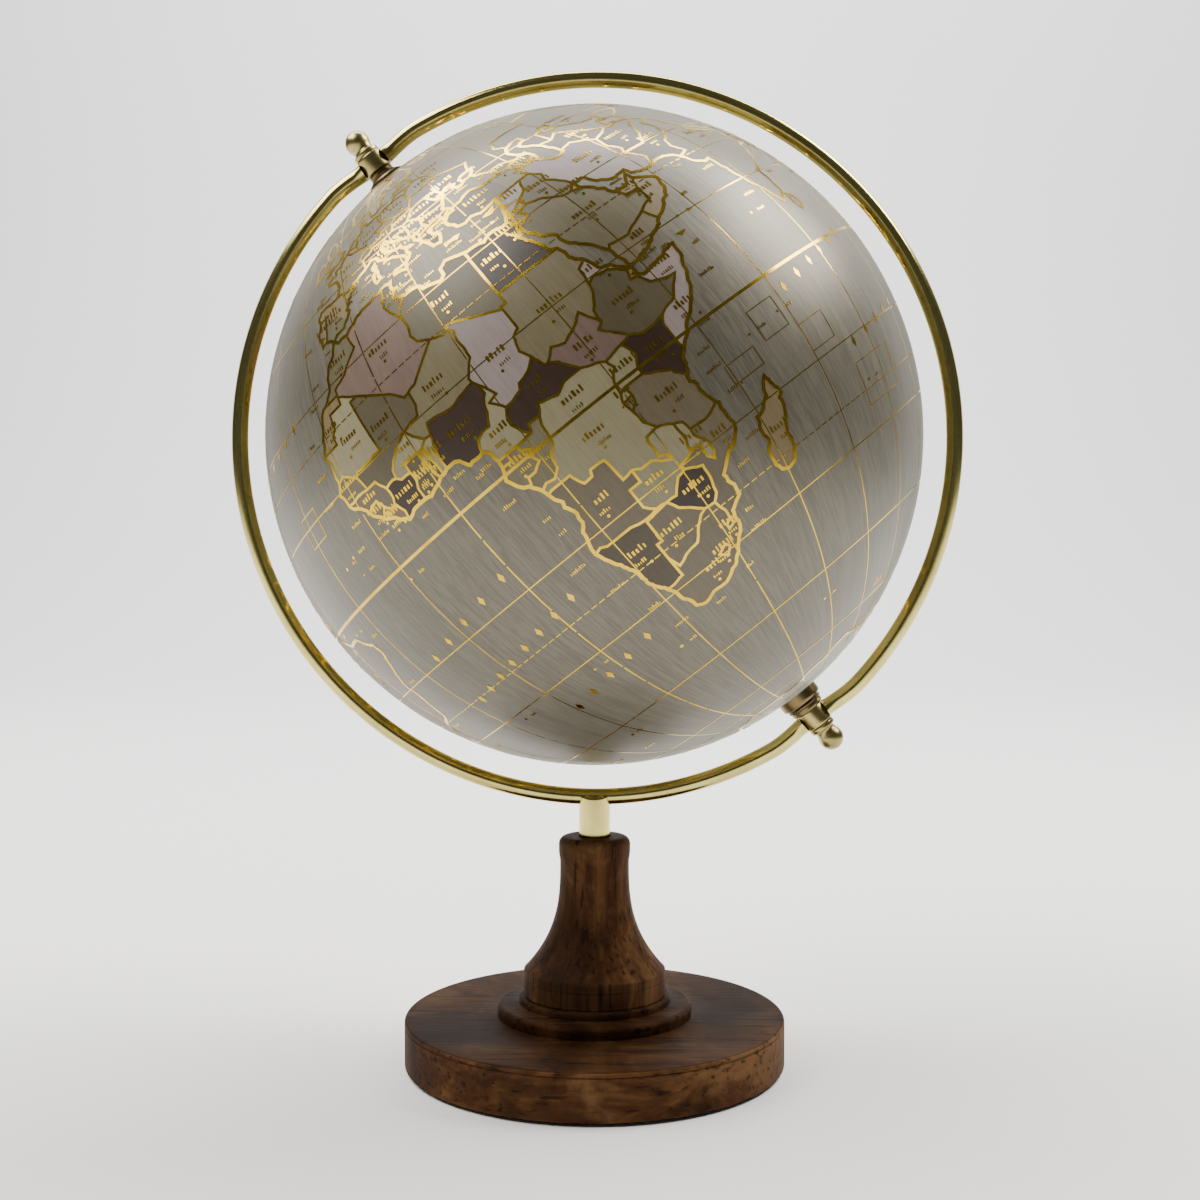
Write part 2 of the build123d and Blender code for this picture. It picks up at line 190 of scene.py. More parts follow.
    "australia": """
        114.2,-22 113.5,-26 115,-30 115.7,-31.8 115,-34.3 118,-35 123.5,-33.9 126,-32.3 131,-31.5
        134.3,-32.8 135.8,-34.8 137.8,-32.7 137.5,-35.2 138.5,-34.8 139.7,-37 143.6,-38.8 146.4,-39
        150,-37.4 151.3,-33.5 153,-31 153.5,-28.2 152.9,-25.2 150.8,-23.2 149,-20.5 146.4,-19 145.4,-15
        143.8,-14.4 142.5,-10.7 141.6,-13 141,-16.8 139.5,-17.5 136,-15.5 135.5,-14.9 136.9,-12.3
        132.6,-11.5 130.8,-12.4 129.6,-15 128,-14.8 125.5,-14.3 122.2,-18 119,-20 116.7,-20.7 114.2,-22
    """,
    "antarctica": """
        -180,-78 -165,-78 -150,-77 -135,-74.5 -120,-73.8 -103,-74.5 -95,-73 -80,-73 -72,-70 -67,-66
        -58,-63.5 -62,-67 -61,-73 -70,-76.5 -55,-77.5 -35,-78 -25,-74.5 -12,-71.5 0,-70 15,-70 30,-69.5
        45,-67.7 55,-66 68,-68 70,-71 80,-67.5 95,-66.5 110,-66 125,-66.5 140,-66.8 150,-68.5 165,-71
        165,-76 170,-78 180,-78
    """,
    "greenland": """
        -73,78.2 -58.5,75.8 -54.5,71 -53.5,67 -50,62 -43.5,60 -40,65 -31,68.1 -22,70.5 -19.5,75 -17.5,80
        -30,83.3 -45,82.7 -60,82 -66,80 -73,78.2
    """,
    "madagascar": """
        49.3,-12 50.4,-15.5 49.7,-16 49.4,-18 48.2,-22 47.1,-25 45.3,-25.5 44,-25 43.3,-22.5 44.4,-20
        44,-17.8 44.5,-16.2 46.3,-15.7 47.8,-14.6 48,-13.5 49.3,-12
    """,
    "britain": """
        -5.6,50.1 -3,50.7 1.4,51.2 0.5,51.5 1.7,52.7 0.2,53.3 -1.5,55 -2,57.5 -3,58.6 -5,58.6 -6,56.5
        -4.9,54.7 -3,54 -4.5,53.3 -5.2,51.8 -3,51.4 -5.6,50.1
    """,
    "ireland": "-6.2,52.2 -10.2,51.7 -9.8,54.2 -8.2,55.2 -6,54.6 -6.2,52.2",
    "iceland": "-24,65.5 -22.5,66.4 -18,66.1 -15,66.3 -13.6,65 -18.8,63.4 -22.6,63.9 -24,65.5",
    "sicily": "12.5,38 15.5,38.2 15.1,36.7 12.5,37.6 12.5,38",
    "sardinia": "8.2,40.9 9.4,41.2 9.6,39.2 8.5,38.9 8.2,40.9",
    "corsica": "8.6,42.5 9.4,43 9.5,42 9.1,41.5 8.6,42.5",
    "crete": "23.6,35.5 26.3,35.3 25.8,35 23.6,35.2 23.6,35.5",
    "cyprus": "32.3,35 34.5,35.6 33.7,34.8 32.3,35",
    "socotra": "53.3,12.6 54.5,12.5 53.8,12.3 53.3,12.6",
    "ceylon": "79.8,9.2 81.2,8.6 81.8,6.8 80.5,5.9 79.8,7.5 79.8,9.2",
    "sumatra": "95.3,5.6 98,4.4 100.5,2 103.5,-1 106,-3.2 105.8,-5.8 104,-5.7 101,-2.6 98.7,1.5 95.3,5.6",
    "java": "105.3,-6.8 106.5,-6 110.8,-6.5 114.5,-7.8 114.3,-8.7 108.5,-7.8 105.3,-6.8",
    "borneo": """
        109,1.5 111.4,2.5 113.5,3.5 116.8,7 119.2,5.2 117.8,3.5 118.8,1 116.5,-1.5 116,-3.8 111.8,-3.4
        110,-1.5 109,1.5
    """,
    "celebes": """
        125.1,1.6 120.9,1.2 119.8,0.2 119,-3.2 119.6,-5.5 120.4,-5.4 120.6,-3 121.4,-4.6 122.6,-4.8
        121.8,-2.2 123.2,-0.9 120.9,-0.8 121,0.4 124.3,0.5 125.1,1.6
    """,
    "timor": "123.5,-10.3 125,-9 127.2,-8.4 125.5,-9.7 123.5,-10.3",
    "new_guinea": """
        131,-0.9 134,-0.8 135,-3.3 138,-1.7 141,-2.6 145,-4.4 147.8,-6.1 147.2,-7.5 150.8,-10.3 147.5,-10
        144.5,-7.7 143,-9.1 141,-9.1 138,-8.3 138,-5.5 133,-4 131,-0.9
    """,
    "luzon": "120.3,16 120.7,18.5 122.2,18.4 121.6,15.9 124,13 121.5,13.7 120.3,16",
    "mindanao": "122,7 123.5,8.6 125.5,9.7 126.5,7.5 125.6,5.7 124,6.8 122,7",
    "taiwan": "120.1,23 121.5,25.3 121.9,24.8 120.9,22 120.1,23",
    "hainan": "108.7,19.2 110.6,20.1 111,19.6 109.6,18.2 108.7,19.2",
    "honshu": """
        129.8,33 131,34.3 133,35.5 136,35.8 136.9,37.4 138.5,37.4 140,39.5 140.4,41.2 141.5,41.3 142,39.5
        140.9,38 140.8,35.7 138.8,34.7 136.8,34.4 135.7,33.5 132.9,32.8 131.5,31.4 130.2,31.3 129.8,33
    """,
    "hokkaido": "140,41.7 140.4,43.3 141.7,45.4 145.3,44.3 145.5,43.3 143.3,42 140,41.7",
    "sakhalin": "142,46 142.2,50 142.7,54.3 143.3,52.5 143,49.3 144.7,49 143.5,46.8 142,46",
    "tasmania": "144.7,-40.8 148.3,-40.9 147.9,-43.2 146,-43.5 144.7,-40.8",
    "north_zealand": "172.7,-34.5 174.8,-36.8 178.5,-37.7 177,-39.5 175.3,-41.6 173.8,-39.3 172.7,-34.5",
    "south_zealand": "172.7,-40.5 174.3,-41.8 170.7,-45.9 168.4,-46.6 166.5,-45.9 170,-43.2 172.7,-40.5",
    "newfoundland": "-59.3,47.7 -57.3,50.8 -55.5,51.6 -54,49.5 -52.7,47.5 -59.3,47.7",
    "baffin": "-80,73.5 -68,70.2 -61.5,66.5 -64.5,63.5 -72,64.5 -73,68 -85,70.4 -89,72.5 -80,73.5",
    "victoria": "-117,73 -105,72.8 -102,69.5 -112,68.8 -117,70 -117,73",
    "banks": "-125,72 -122,74.3 -118.5,73.6 -122.5,71.3 -125,72",
    "ellesmere": "-90,77 -78,76.5 -64,81.5 -80,83 -92,81 -90,77",
    "cuba": "-84.9,21.9 -82,23.2 -77,21.5 -74.2,20.2 -77.6,19.9 -81.5,22.2 -84.9,21.9",
    "hispaniola": "-74.4,18.4 -73.2,19.9 -68.4,18.6 -71.5,17.8 -74.4,18.4",
    "svalbard": "11,79.5 20,80.3 25,79.8 17,76.8 11,79.5",
    "novaya": "52,71 56,74.5 68,76.9 60,74.8 57,70.7 52,71",
    "caspian": """
        47,44.5 47.5,43 49.5,40.6 49,38.5 50.5,37.2 52.5,36.8 54,37.2 53.5,39.5 52.8,41.5 51,43.5 50.5,44.6
        53,45.3 53,46.8 50.5,46.6 48.5,46 47,44.5
    """,
    "aral": "58.3,44.5 59,46.4 61.5,46.5 60.5,44 58.3,44.5",
    "michigan": "-87.6,41.7 -86.2,43.5 -85.2,45.9 -87.8,44.5 -87.6,41.7",
    "huron": "-84.3,45.9 -80.2,44.6 -82.3,43.1 -83.6,44.3 -84.3,45.9",
    "superior": "-91.9,46.8 -88.3,48.6 -84.7,46.9 -88,46.9 -91.9,46.8",
}

# frontiers, by region, with a semicolon between one line and the next
FRONTIERS = {
    "Africa": """
        -2.2,35.3 -1.7,33.3 -1.3,32.2 -3.6,30.9 -5.5,29.5 -8.7,28.7 -8.7,27.7 -8.7,27.3; -13.7,27.7
        -8.7,27.7; -8.7,27.3 -8.7,26 -12,26 -12,23.4 -13.1,22.8 -13,21.3 -17.4,21.3; -8.7,27.3 -4.8,25;
        -4.8,25 -6.5,25 -5.5,16.4 -5.4,15.5 -9.2,15.4 -11.5,15.5 -12.2,14.8; -12.2,14.8 -13.8,16 -14.9,16.7
        -16.9,16.1; -4.8,25 1.2,21.1 3.2,19 4.2,19.2; 4.2,19.2 5.8,19.5 11.9,23.5; 11.9,23.5 9.9,24.8
        9.4,26.2 9.9,28 9.5,30.2; 9.5,30.2 8.3,32 7.5,33.8 8.2,35 8.4,36.6 8.7,37.4; 9.5,30.2 10.3,31.7
        11.4,32.4 11.7,33.6; 11.9,23.5 14.2,22.6 15,23; 15,23 16,23.4 24,19.5; 24,19.5 24,20 25,20 25,22;
        25,22 25,29.2 24.9,32; 25,22 31.3,22 37.4,22; 4.2,19.2 4.2,16.9 3.5,15.4 0.2,14.9; 0.2,14.9 1,13.4
        2.4,11.9; 2.4,11.9 3.6,11.7; 3.6,11.7 4.1,13.5 6.8,13.1 9,12.8 11.5,13.3 13.6,13.7; 13.6,13.7
        13.5,14.4 15.6,16.9 15.5,20.5 15.9,21.9 15,23; 13.6,13.7 14.1,12.8; 14.1,12.8 15.1,11 15.5,10
        13.9,9.6 15.2,8 15.5,7.5; 15.5,7.5 16.8,7.6 18.6,8.1 19.1,9 21,9.5 22.9,11; 22.9,11 22,12.7
        22.3,13.8 22.7,15 24,15.7 24,19.5; -12.2,14.8 -11.4,12.3; -11.4,12.3 -13.7,12.6 -17.1,12.4;
        -11.4,12.3 -9.3,12.3 -8,10.3; -8,10.3 -7.9,8.5 -8.4,7.6; -8.4,7.6 -9.4,7.5 -10.3,8.5; -10.3,8.5
        -11.8,6.6; -10.3,8.5 -11.1,10 -12.5,9.9 -13.7,8.9; -8.4,7.6 -7.4,5.8 -7.6,4.1; -8,10.3 -6.2,10.6
        -5.5,10.4; -5.5,10.4 -5.2,11.7 -4.3,12.7 -3.4,13.2 -2,14.2 0.2,14.9; -5.5,10.4 -4.7,9.7 -2.8,9.6;
        -2.8,9.6 -2.8,11 0,11.1; -2.8,9.6 -2.5,8.2 -3.2,6.8 -3.1,4.8; 0,11.1 0.4,8.7 0.6,6.9 1.2,5.7; 0,11.1
        0.9,11 2.4,11.9; 0.9,11 1.4,9.5 1.6,8 1.7,5.9; 3.6,11.7 2.8,9 2.7,6.1; 14.1,12.8 14.2,11.2 13.2,10
        12.8,8.7 11.8,7 10.5,7 9.2,6.4 8.8,5.6 8.4,4.3; 15.5,7.5 14.5,6 14.5,5 15.1,3.5 16.1,2.3; 16.1,2.3
        13.3,2.2; 13.3,2.2 11.3,2.2 9.4,2.2; 11.3,2.2 11.3,1 9.1,1; 13.3,2.2 13.2,1.3 14.5,0.6 13.9,-0.2
        14.5,-1.5 13,-2.4 11.7,-2.4 11.2,-3.7 10.6,-4.1; 16.1,2.3 16.6,3.5 18.6,3.5; 18.6,3.5 18,2.3
        17.7,-0.5 16.2,-2.2 15.9,-3.9 14.6,-4.9 13.2,-4.6 12.4,-5 11.7,-5; 18.6,3.5 19.5,5 22.4,4.1 24.5,5.1
        27.4,5.1; 22.9,11 23.7,8.7 24.2,8.7; 24.2,8.7 25.5,7.8 27.4,5.1; 24.2,8.7 26,10.2 28,9.4 30,10.2
        32.4,11.8 33,10.5 34.1,8.6; 27.4,5.1 29.5,4.3 30.8,3.6; 30.8,3.6 34,4.2; 34,4.2 35.9,4.6; 35.9,4.6
        35.3,5.4 33,7.9 34.1,8.6; 34.1,8.6 34.3,10.6 36,12.7 36.5,14.3; 36.5,14.3 37,17.1 38.9,18.1;
        36.5,14.3 37.9,14.9 40.2,14.4 42.4,12.5; 42.4,12.5 43.5,12.8; 42.4,12.5 41.8,11 42.9,10.9; 42.9,10.9
        43.4,11.6; 42.9,10.9 44,9 47,8 48,8 45,5 42,4.1; 42,4.1 39.8,3.6 38.1,3.6 35.9,4.6; 42,4.1 41,2.8
        41,-0.9 41.8,-2; 34,4.2 35,1.9 33.9,0.1 33.9,-1; 33.9,-1 37.7,-3.1 37.8,-3.7 39.6,-5; 33.9,-1
        30.5,-1; 30.8,3.6 31.3,2.2 29.9,0.6 29.6,-1.4; 29.6,-1.4 30.5,-1 30.8,-2.4 29,-2.7 29.6,-1.4;
        29,-2.7 29.4,-4.5 30.5,-3.6 30.8,-2.4; 29.4,-4.5 29.6,-6.5 30.8,-8.3; 30.8,-8.3 28.7,-8.5 28.4,-9.3
        28.6,-11 28.4,-11.8 29.6,-12.2 29.8,-13.4 28.4,-12.6 27.2,-11.6 25.3,-11.6 24,-10.9; 24,-10.9
        22.2,-11.2 21.8,-7.3 19.4,-7.1 19,-8 17.5,-8.1 16.6,-5.9 13.1,-5.9 12,-6.1; 24,-10.9 24,-13 22,-13
        22,-16.2 23.4,-17.6; 23.4,-17.6 21.4,-17.9 18.5,-17.4 14,-17.4 13,-16.9 11.5,-17.3; 23.4,-17.6
        25.2,-17.8; 25.2,-17.8 23.3,-18 21,-18.3 21,-22 20,-22 20,-24.8; 20,-24.8 20,-28.4 17.4,-28.8
        16.1,-28.6; 20,-24.8 20.7,-26.9 22.6,-26.1 25.3,-25.7 26.8,-23.9 28.3,-22.6 29.4,-22.2; 25.2,-17.8
        26.2,-19.6 27.7,-20.7 29.4,-22.2; 29.4,-22.2 31.3,-22.4; 25.2,-17.8 27,-17.9 28.9,-15.9 30.4,-15.6;
        30.4,-15.6 31.3,-16 33,-16.8 32.8,-19.5 32.4,-21.3 31.3,-22.4; 31.3,-22.4 32,-24.4 31.9,-25.9
        32.1,-26.8 33.1,-26.9; 31.9,-25.9 30.9,-26.4 30.9,-27.2 32.1,-26.8; 27,-29.6 28.8,-28.7 29.4,-29.5
        28.2,-30.6 27,-29.6; 30.4,-15.6 30.2,-14.8 33.2,-14; 33.2,-14 32.7,-13.6 33.4,-12 33,-9.4; 30.8,-8.3
        33,-9.4; 33,-9.4 34.3,-10 34.6,-11.5; 34.6,-11.5 37.5,-11.7 40.9,-10.4; 34.6,-11.5 34.5,-12.5
        35.8,-14.5 35.8,-16 35.2,-17.1 34.4,-16.2 34.5,-14.5 33.2,-14
    """,
    "Arabia and the Near East": """
        42.3,16.3 43.3,17.4 47,17 52,19; 52,19 53.2,16.2; 52,19 55,20 55.2,22.7; 55.2,22.7 52.6,22.9
        51.5,24.8; 55.2,22.7 55.8,24.2 56.7,24.8; 48.9,28.4 46.5,29 44.7,29.2 42,31.1 39.2,32.1; 46.5,29
        48.2,30.3; 39.2,32.1 37,31.5 37.9,30 36,29.2 34.7,29.3; 34.9,29.5 35.5,31.5 35.6,32.7; 35.6,32.7
        35.8,33.3 34.8,33.1; 35.8,33.3 36.6,34.2 35.5,34.7; 35.6,32.7 36.8,32.3 38.8,33.4; 39.2,32.1
        38.8,33.4; 38.8,33.4 41.2,34.8 42.4,37.1; 42.4,37.1 40,36.8 37,36.7 36.5,36.2 35.7,35.9; 42.4,37.1
        44.8,37.2; 44.8,37.2 46.2,35.5 45.5,34 47.6,31.5 48.4,29.9; 44.8,37.2 44.2,38.5 44.6,39.8; 44.6,39.8
        43.5,41.1 41.2,41.5; 44.6,39.8 46.5,38.9 48,39.6 49.4,38.4; 39.7,43.2 43,43.2 46.4,41.9 49.1,41.8;
        43.5,41.1 46.4,41.9; 45,41.5 46.5,38.9; 53.6,37.4 57,38.2 60,36.6 61.2,35.6; 61.2,35.6 60.6,33
        61.8,31 60.9,29.8; 60.9,29.8 63,27 61.6,24.8
    """,
    "Asia": """
        60.9,29.8 66.3,29.8 69.5,32.5 71,35 74.5,37; 61.2,35.6 64.5,36.5 66.6,37.4 68,37 71.5,37.5 74.5,37;
        66.6,37.4 62,40 58.5,42.6 56,41.3; 52.4,41.8 56,41.3; 56,41.3 56,45 58.5,45.3; 61,44.5 66,41.8
        69,41.4 71,42.2; 71,42.2 75,43 80.2,42.2; 68,37 68.5,40 71,40.2 73.8,39.5; 71,40.2 71,42.2;
        73.8,39.5 76.5,40.4 80.2,42.2; 74.5,37 73.8,39.5; 80.2,42.2 80.5,45 82.5,45.3 85.6,47 87.3,49.1;
        49,46 47,48 49,50.5 55,51 61,51 61.5,54 70,55.2 76.5,54.3 80,51.2 87.3,49.1; 87.3,49.1 98,50 98.3,52
        102.5,51.4 108,49.5 116.7,49.8; 116.7,49.8 119.8,47 116,45.5 111.5,43.5 105,41.6 97,42.7 91,45.2
        87.3,49.1; 116.7,49.8 119.5,52 121,53.3 126,52.8 128,49.5 134.5,48.4 131,45 130.6,42.3; 130.6,42.4
        126.9,41.7 124.2,39.8; 126,37.8 128.8,38.5; 74.5,37 78,35.5 79,32.5 81,30.2; 81,30.2 86,28
        88.1,27.9; 88.1,27.9 92,27.7 97.3,28.2; 78,35.5 74,34.5 75,32.5 73.5,29.8 70.5,28 69.8,26.6 71,24.5
        67.9,23.6; 81,30.2 80.2,28.8 84,27.4 88.1,26.4 88.1,27.9; 92.3,20.7 92.5,23.8 92.2,25.2 89.8,25.3
        88.4,26.2 88.2,24.8 88.9,22.8 89,21.4; 97.3,28.2 95.2,26.5 93.3,24.1 92.5,23.8; 97.3,28.2 98.7,27.5
        97.7,24 99.3,22.2 101.2,21.6; 101.2,21.6 100.1,20.4; 100.1,20.4 97.8,18.5 98.6,16 99.2,13 98.4,10;
        101.2,21.6 102.2,22.4; 102.2,22.4 104.5,20.5 105.5,18.5 107.5,15.5 107.5,14.5; 102.2,22.4 105.3,23.3
        108.1,21.4; 100.1,20.4 101,17.8 104,18.2 105.5,14.4; 105.5,14.4 107.5,14.5; 105.5,14.4 102.5,13.6
        102.8,11.6; 107.5,14.5 107.5,12.3 105.9,11 104.3,10.3; 99.8,6.5 102.2,6; 109.3,2.2 110.5,0.9 114,1.3
        115.5,3.5 118.2,4.2; 141,-2.3 141,-9.4
    """,
    "Europe": """
        -9.1,41.9 -6.5,41.7 -7,39 -7.4,36.9; -1.9,43.6 0.7,42.7 3.5,42.4; 7.5,43.5 7,45 7,46; 7,46 6.1,46.3
        7.6,47.6; 7.6,47.6 8.2,49 6.3,49.5; 6.3,49.5 4.2,50 2.4,51.3; 3.2,51.6 6,51; 6.3,49.5 6,51; 6,51
        7,53.7; 7,46 9,46.1 10.4,46.7; 7.6,47.6 9.6,47.5; 9.6,47.5 10.4,46.7; 9.6,47.5 13,47.6 13.8,48.7;
        10.4,46.7 13.7,46.5; 13.7,46.5 13.6,45.4; 13.7,46.5 16.2,46.8; 13.8,48.7 12.2,50.2 14.9,50.9;
        14.9,50.9 14.2,54.1; 8.4,54.8 10.1,54.8; 14.9,50.9 18.8,49.5; 18.8,49.5 16.9,48.7; 13.8,48.7
        16.9,48.7; 16.9,48.7 17,48; 17,48 16.2,46.8; 17,48 19.5,48.1 22.2,48.4; 18.8,49.5 22.5,49.1;
        22.5,49.1 22.2,48.4; 22.2,48.4 22.9,48; 16.2,46.8 18.9,45.9; 18.9,45.9 20.3,46.1; 20.3,46.1 22.9,48;
        18.9,45.9 19,44.8; 19,44.8 19.2,43.4 18.4,42.2; 19,44.8 16,45.2 17.5,42.8; 20.3,46.1 22.5,44.6
        22.7,44.1; 22.7,44.1 25.5,43.7 28.9,43.7; 22.7,44.1 22.4,42.3; 22.4,42.3 22.9,41.3; 19.2,42 20.5,42;
        20.5,42 20.7,40.9; 20.7,40.9 19.8,39.6; 20.7,40.9 22.9,41.3; 22.9,41.3 26.3,41.7; 26.3,41.7
        26.1,40.6; 26.3,41.7 28.3,42; 20.5,42 22.4,42.3; 22.9,48 26.6,48.3; 26.6,48.3 28.2,45.5; 28.2,45.5
        30,45.2; 26.6,48.3 29.2,48 30.1,46.4 28.2,45.5; 22.5,49.1 24,50.8 23.6,51.6; 23.6,51.6 23.6,53.9;
        19.6,54.6 22.8,54.4; 22.8,54.4 23.6,53.9; 22.8,54.4 20.9,55.3; 23.6,53.9 26.6,55.7; 26.6,55.7
        20.9,56.1; 26.6,55.7 28.2,56.1; 24.1,57.9 27.4,57.5; 27.4,57.5 28.2,56.1; 28.2,56.1 31,55 32.5,53.2
        31.8,52.1; 27.4,57.5 27.8,59.7; 23.6,51.6 27.5,51.5 31.8,52.1; 31.8,52.1 35,51.2 40,49.6 38.3,46.8;
        27.9,60.2 31.5,62.9 29.5,67.5 28.6,69; 28.6,69 31,70; 28.6,69 25.8,69 21,69.2; 21,69.2 24,65.6;
        21,69.2 14.5,66.1 12,63.5 12.2,61.3 11.3,58.8
    """,
    "the Americas": """
        -141,69.9 -141,60.2 -137.5,59.2 -130.5,56 -130.3,54.3; -123.2,49 -95.2,49 -89.8,48; -84.8,46.8
        -84.3,45.8; -82.4,43.2 -82.5,42.4 -79,42.9 -76.5,44.1 -74.7,45 -71.4,45.1 -69.2,47.4 -67.8,47.1
        -67,44.6; -117.3,32.5 -114.8,32.6 -111.1,31.3 -108.2,31.5 -106.5,31.8 -103.2,29 -101.4,29.8
        -99.3,26.8 -97,25.9; -92.4,14 -91.4,17.2 -89.2,17.8 -87.9,18.4; -88.4,16.1 -89.4,14.4; -89.4,14.4
        -90.1,13.5; -87.7,12.8 -86.5,14 -83,15; -86,11.1 -83.4,10.9; -82.9,8.2 -82.5,9.7; -71.2,12.2
        -72.8,9.1 -72,7.3 -67.5,6.2 -67.3,2.3 -66.9,1.2; -79.1,1.5 -77.5,0.4 -75.3,-0.1; -75.3,-0.1
        -78.3,-3.4 -80.6,-3.5; -75.3,-0.1 -72,-2.4 -70,-4.2; -70,-4.2 -69.5,0.5 -66.9,1.2; -66.9,1.2 -64,2
        -64.5,4 -60.7,5.2; -60.7,5.2 -59.8,8.9; -60.7,5.2 -59.5,1.5 -56.5,1.9; -56.5,1.9 -57.2,6.3;
        -56.5,1.9 -54.5,2.3; -54.5,2.3 -54,6.1; -54.5,2.3 -52.5,2.2 -51.4,4.7; -70,-4.2 -73.5,-7.5
        -70.5,-9.5 -69.5,-11; -69.5,-11 -65.3,-10.5 -60,-13.7 -60,-16.3 -57.7,-18 -58,-20.2; -69.5,-11
        -69,-15.5 -69.5,-17.5; -69.5,-17.5 -70.8,-18.5; -69.5,-17.5 -68.2,-21.5 -67.2,-22.8; -67.2,-22.8
        -62.7,-22.2; -62.7,-22.2 -61.8,-19.6 -58,-20.2; -62.7,-22.2 -58,-25 -58.6,-27.3 -54.6,-25.6;
        -58,-20.2 -55.5,-22.3 -54.6,-25.6; -54.6,-25.6 -53.8,-27.2 -57.6,-30.2; -57.6,-30.2 -53.2,-33.9;
        -57.6,-30.2 -58.4,-34.3; -67.2,-22.8 -68.5,-27 -70.2,-31 -70.5,-36 -71.7,-40 -72,-46 -73,-50 -70,-52
        -68.2,-52.6
    """,
    "Australia": """
        129,-14.5 129,-26 129,-32; 138,-16.3 138,-26 141,-26; 129,-26 138,-26; 141,-26 141,-29 141,-34
        141,-38.3; 141,-29 149,-29 153.8,-28.2; 141,-34 144,-36 148,-36 150.2,-37.6
    """,
}

# one point or more inside each region, by the ink it is printed in
INKS = {
    "sea": """
        0,0 -30,20 38.6,20.7 51,39 51.5,45.8 59.7,45.5 35,43.5 -86.5,43.5 -82.5,44.6 -88.2,47.6 28.2,40.7
    """,
    "olive": """
        17,27 45,24 34,39 10,34.5 -6,32 107,48 -100,40 -63,-34 146,-24 69,30 25,57 24,46 -4,40 106,14
        121.9,15.5 -92,15.5 20,52 -77,-1.5
    """,
    "khaki": """
        30,15 8.5,17 12,0 15,-0.8 34,56 80,27 94,60 30,53 -100,60 2,47 124,8 42,42 47.5,41 114.5,-1 -55,4.5
        175,67 -85.5,12.5 60,57 101.5,4
    """,
    "bronze": """
        -3,18 39,9 -1,7.5 44,33.5 65,34 100,47 113,0 25,42.8 10,51 -65,-8 -65,-17 120,-3 -1.2,8 135,-29
        -76,-8 105,20.5 0.9,8.5
    """,
    "cream": """
        -10,20 -1.5,12.5 1,9.8 2.2,9 12.5,5 23,-4 24,2 32.5,1 26,-14.5 34.2,-13 105,35 -65,7 -57,-32.8
        29.9,-2 133,-23 -10,6.3 84,28.3 15,62
    """,
    "mauve": """
        3,28 30,7 32,48 61,39 -90,52 -48,-10 141,-4 26,62 96,22 -73,4 13,42.5 90,24.2 127,40 -102,24 -58,-23
        20.1,41.2 147,-32
    """,
    "lavender": """
        19,14 55,33 47,10 45.5,3 38,35 -115,64 -150,65 -41,72 -60,4 -71,-35 121,-26 127.5,36.5 38.8,15.5
        21,44
    """,
    "taupe": """
        18,-12 35,-6 23,-22 25,-31 38,-15 28.4,-29.5 31.4,-26.7 -14.5,14.5 -12,10.5 -11.8,8.3 48,15.5
        -8,39.5 16,53 -120,55 -45,-5 -70,-28 84,45 146,-37 102,15 -57.5,4 17,44.2 66,46
    """,
    "sand": """
        -13,23.5 -9.2,6.6 56,21.5 54,23.5 36.3,31 47.5,29.3 -5,41 2,42 12,47 19,47 138,36 143,44 47,-20
        -84,10 -58,-5 29,47.2 70,39 101,17 144.9,-6.5 -69,-44 45,40.3
    """,
    "umber": "8,9 21,7 -5.5,7.5 38,0.5 30,-19 12.5,43.5 22,39.5 -73,-9 110,0 24.5,40.9 -89.2,15.4 113,3",
    "charcoal": "28,27 33.7,29.7",
    "moss": "17,-21.5",
    "ice": "0,-85 -41,77",
}


# ---- meshes -------------------------------------------------------------------------------------
def tilted():
    """The ball's frame: Z along the axle, X through the equator at longitude 0."""
    front = Vector((0, -1, 0))
    east = AXLE.cross(front)
    turn = math.radians(-FACING_LONGITUDE)
    x = front * math.cos(turn) + east * math.sin(turn)
    y = AXLE.cross(x)
    return Matrix.Translation(CENTRE) @ Matrix((x, y, AXLE)).transposed().to_4x4()


def south_up(matrix):
    """The same frame turned over, so that Z runs along the axle to the south."""
    return matrix @ Matrix.Rotation(math.pi, 4, "X")


def piece(name, verts, faces, materials, body, matrix=None, sharp=35, face_materials=None):
    """Makes a mesh object that rides on a body."""
    mesh = bpy.data.meshes.new(name)
    mesh.from_pydata(verts, [], faces)
    mesh.validate()
    if matrix is not None:
        mesh.transform(matrix)
    for material in materials:
        mesh.materials.append(material)
    if face_materials is not None:
        mesh.polygons.foreach_set("material_index", face_materials)
    mesh.polygons.foreach_set("use_smooth", [True] * len(mesh.polygons))
    mesh.set_sharp_from_angle(angle=math.radians(sharp))
    mesh.update()
    made = bpy.data.objects.new(name, mesh)
    bpy.context.scene.collection.objects.link(made)
    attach(made, body)
    return made


def arc(r, z, radius, start, end, steps=8):
    """Points of an arc in a profile, in millimetres and degrees. 0 degrees points outwards, 90 up."""
    turns = [math.radians(start + (end - start) * k / steps) for k in range(steps + 1)]
    return [(r + radius * math.cos(t), z + radius * math.sin(t)) for t in turns]


def turned(name, node, profile, material, body, matrix=None, segments=192):
    """Turns a closed profile about Z, in place of a CAD node. Points on the axis become one vertex."""
    verts, rows = [], []
    for r, z in profile:
        row = []
        for k in range(segments if r > 1e-6 else 1):
            a = 2 * math.pi * k / segments
            row.append(len(verts))
            verts.append((r * MM * math.cos(a), r * MM * math.sin(a), z * MM))
        rows.append(row)
    faces = []
    for i, low in enumerate(rows):
        high = rows[(i + 1) % len(rows)]
        for k in range(segments):
            n = (k + 1) % segments
            corners = [low[k % len(low)], low[n % len(low)], high[n % len(high)], high[k % len(high)]]
            face = list(dict.fromkeys(corners))
            if len(face) > 2:
                faces.append(face)
    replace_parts(piece(name, verts, faces, [material], body, matrix), node)


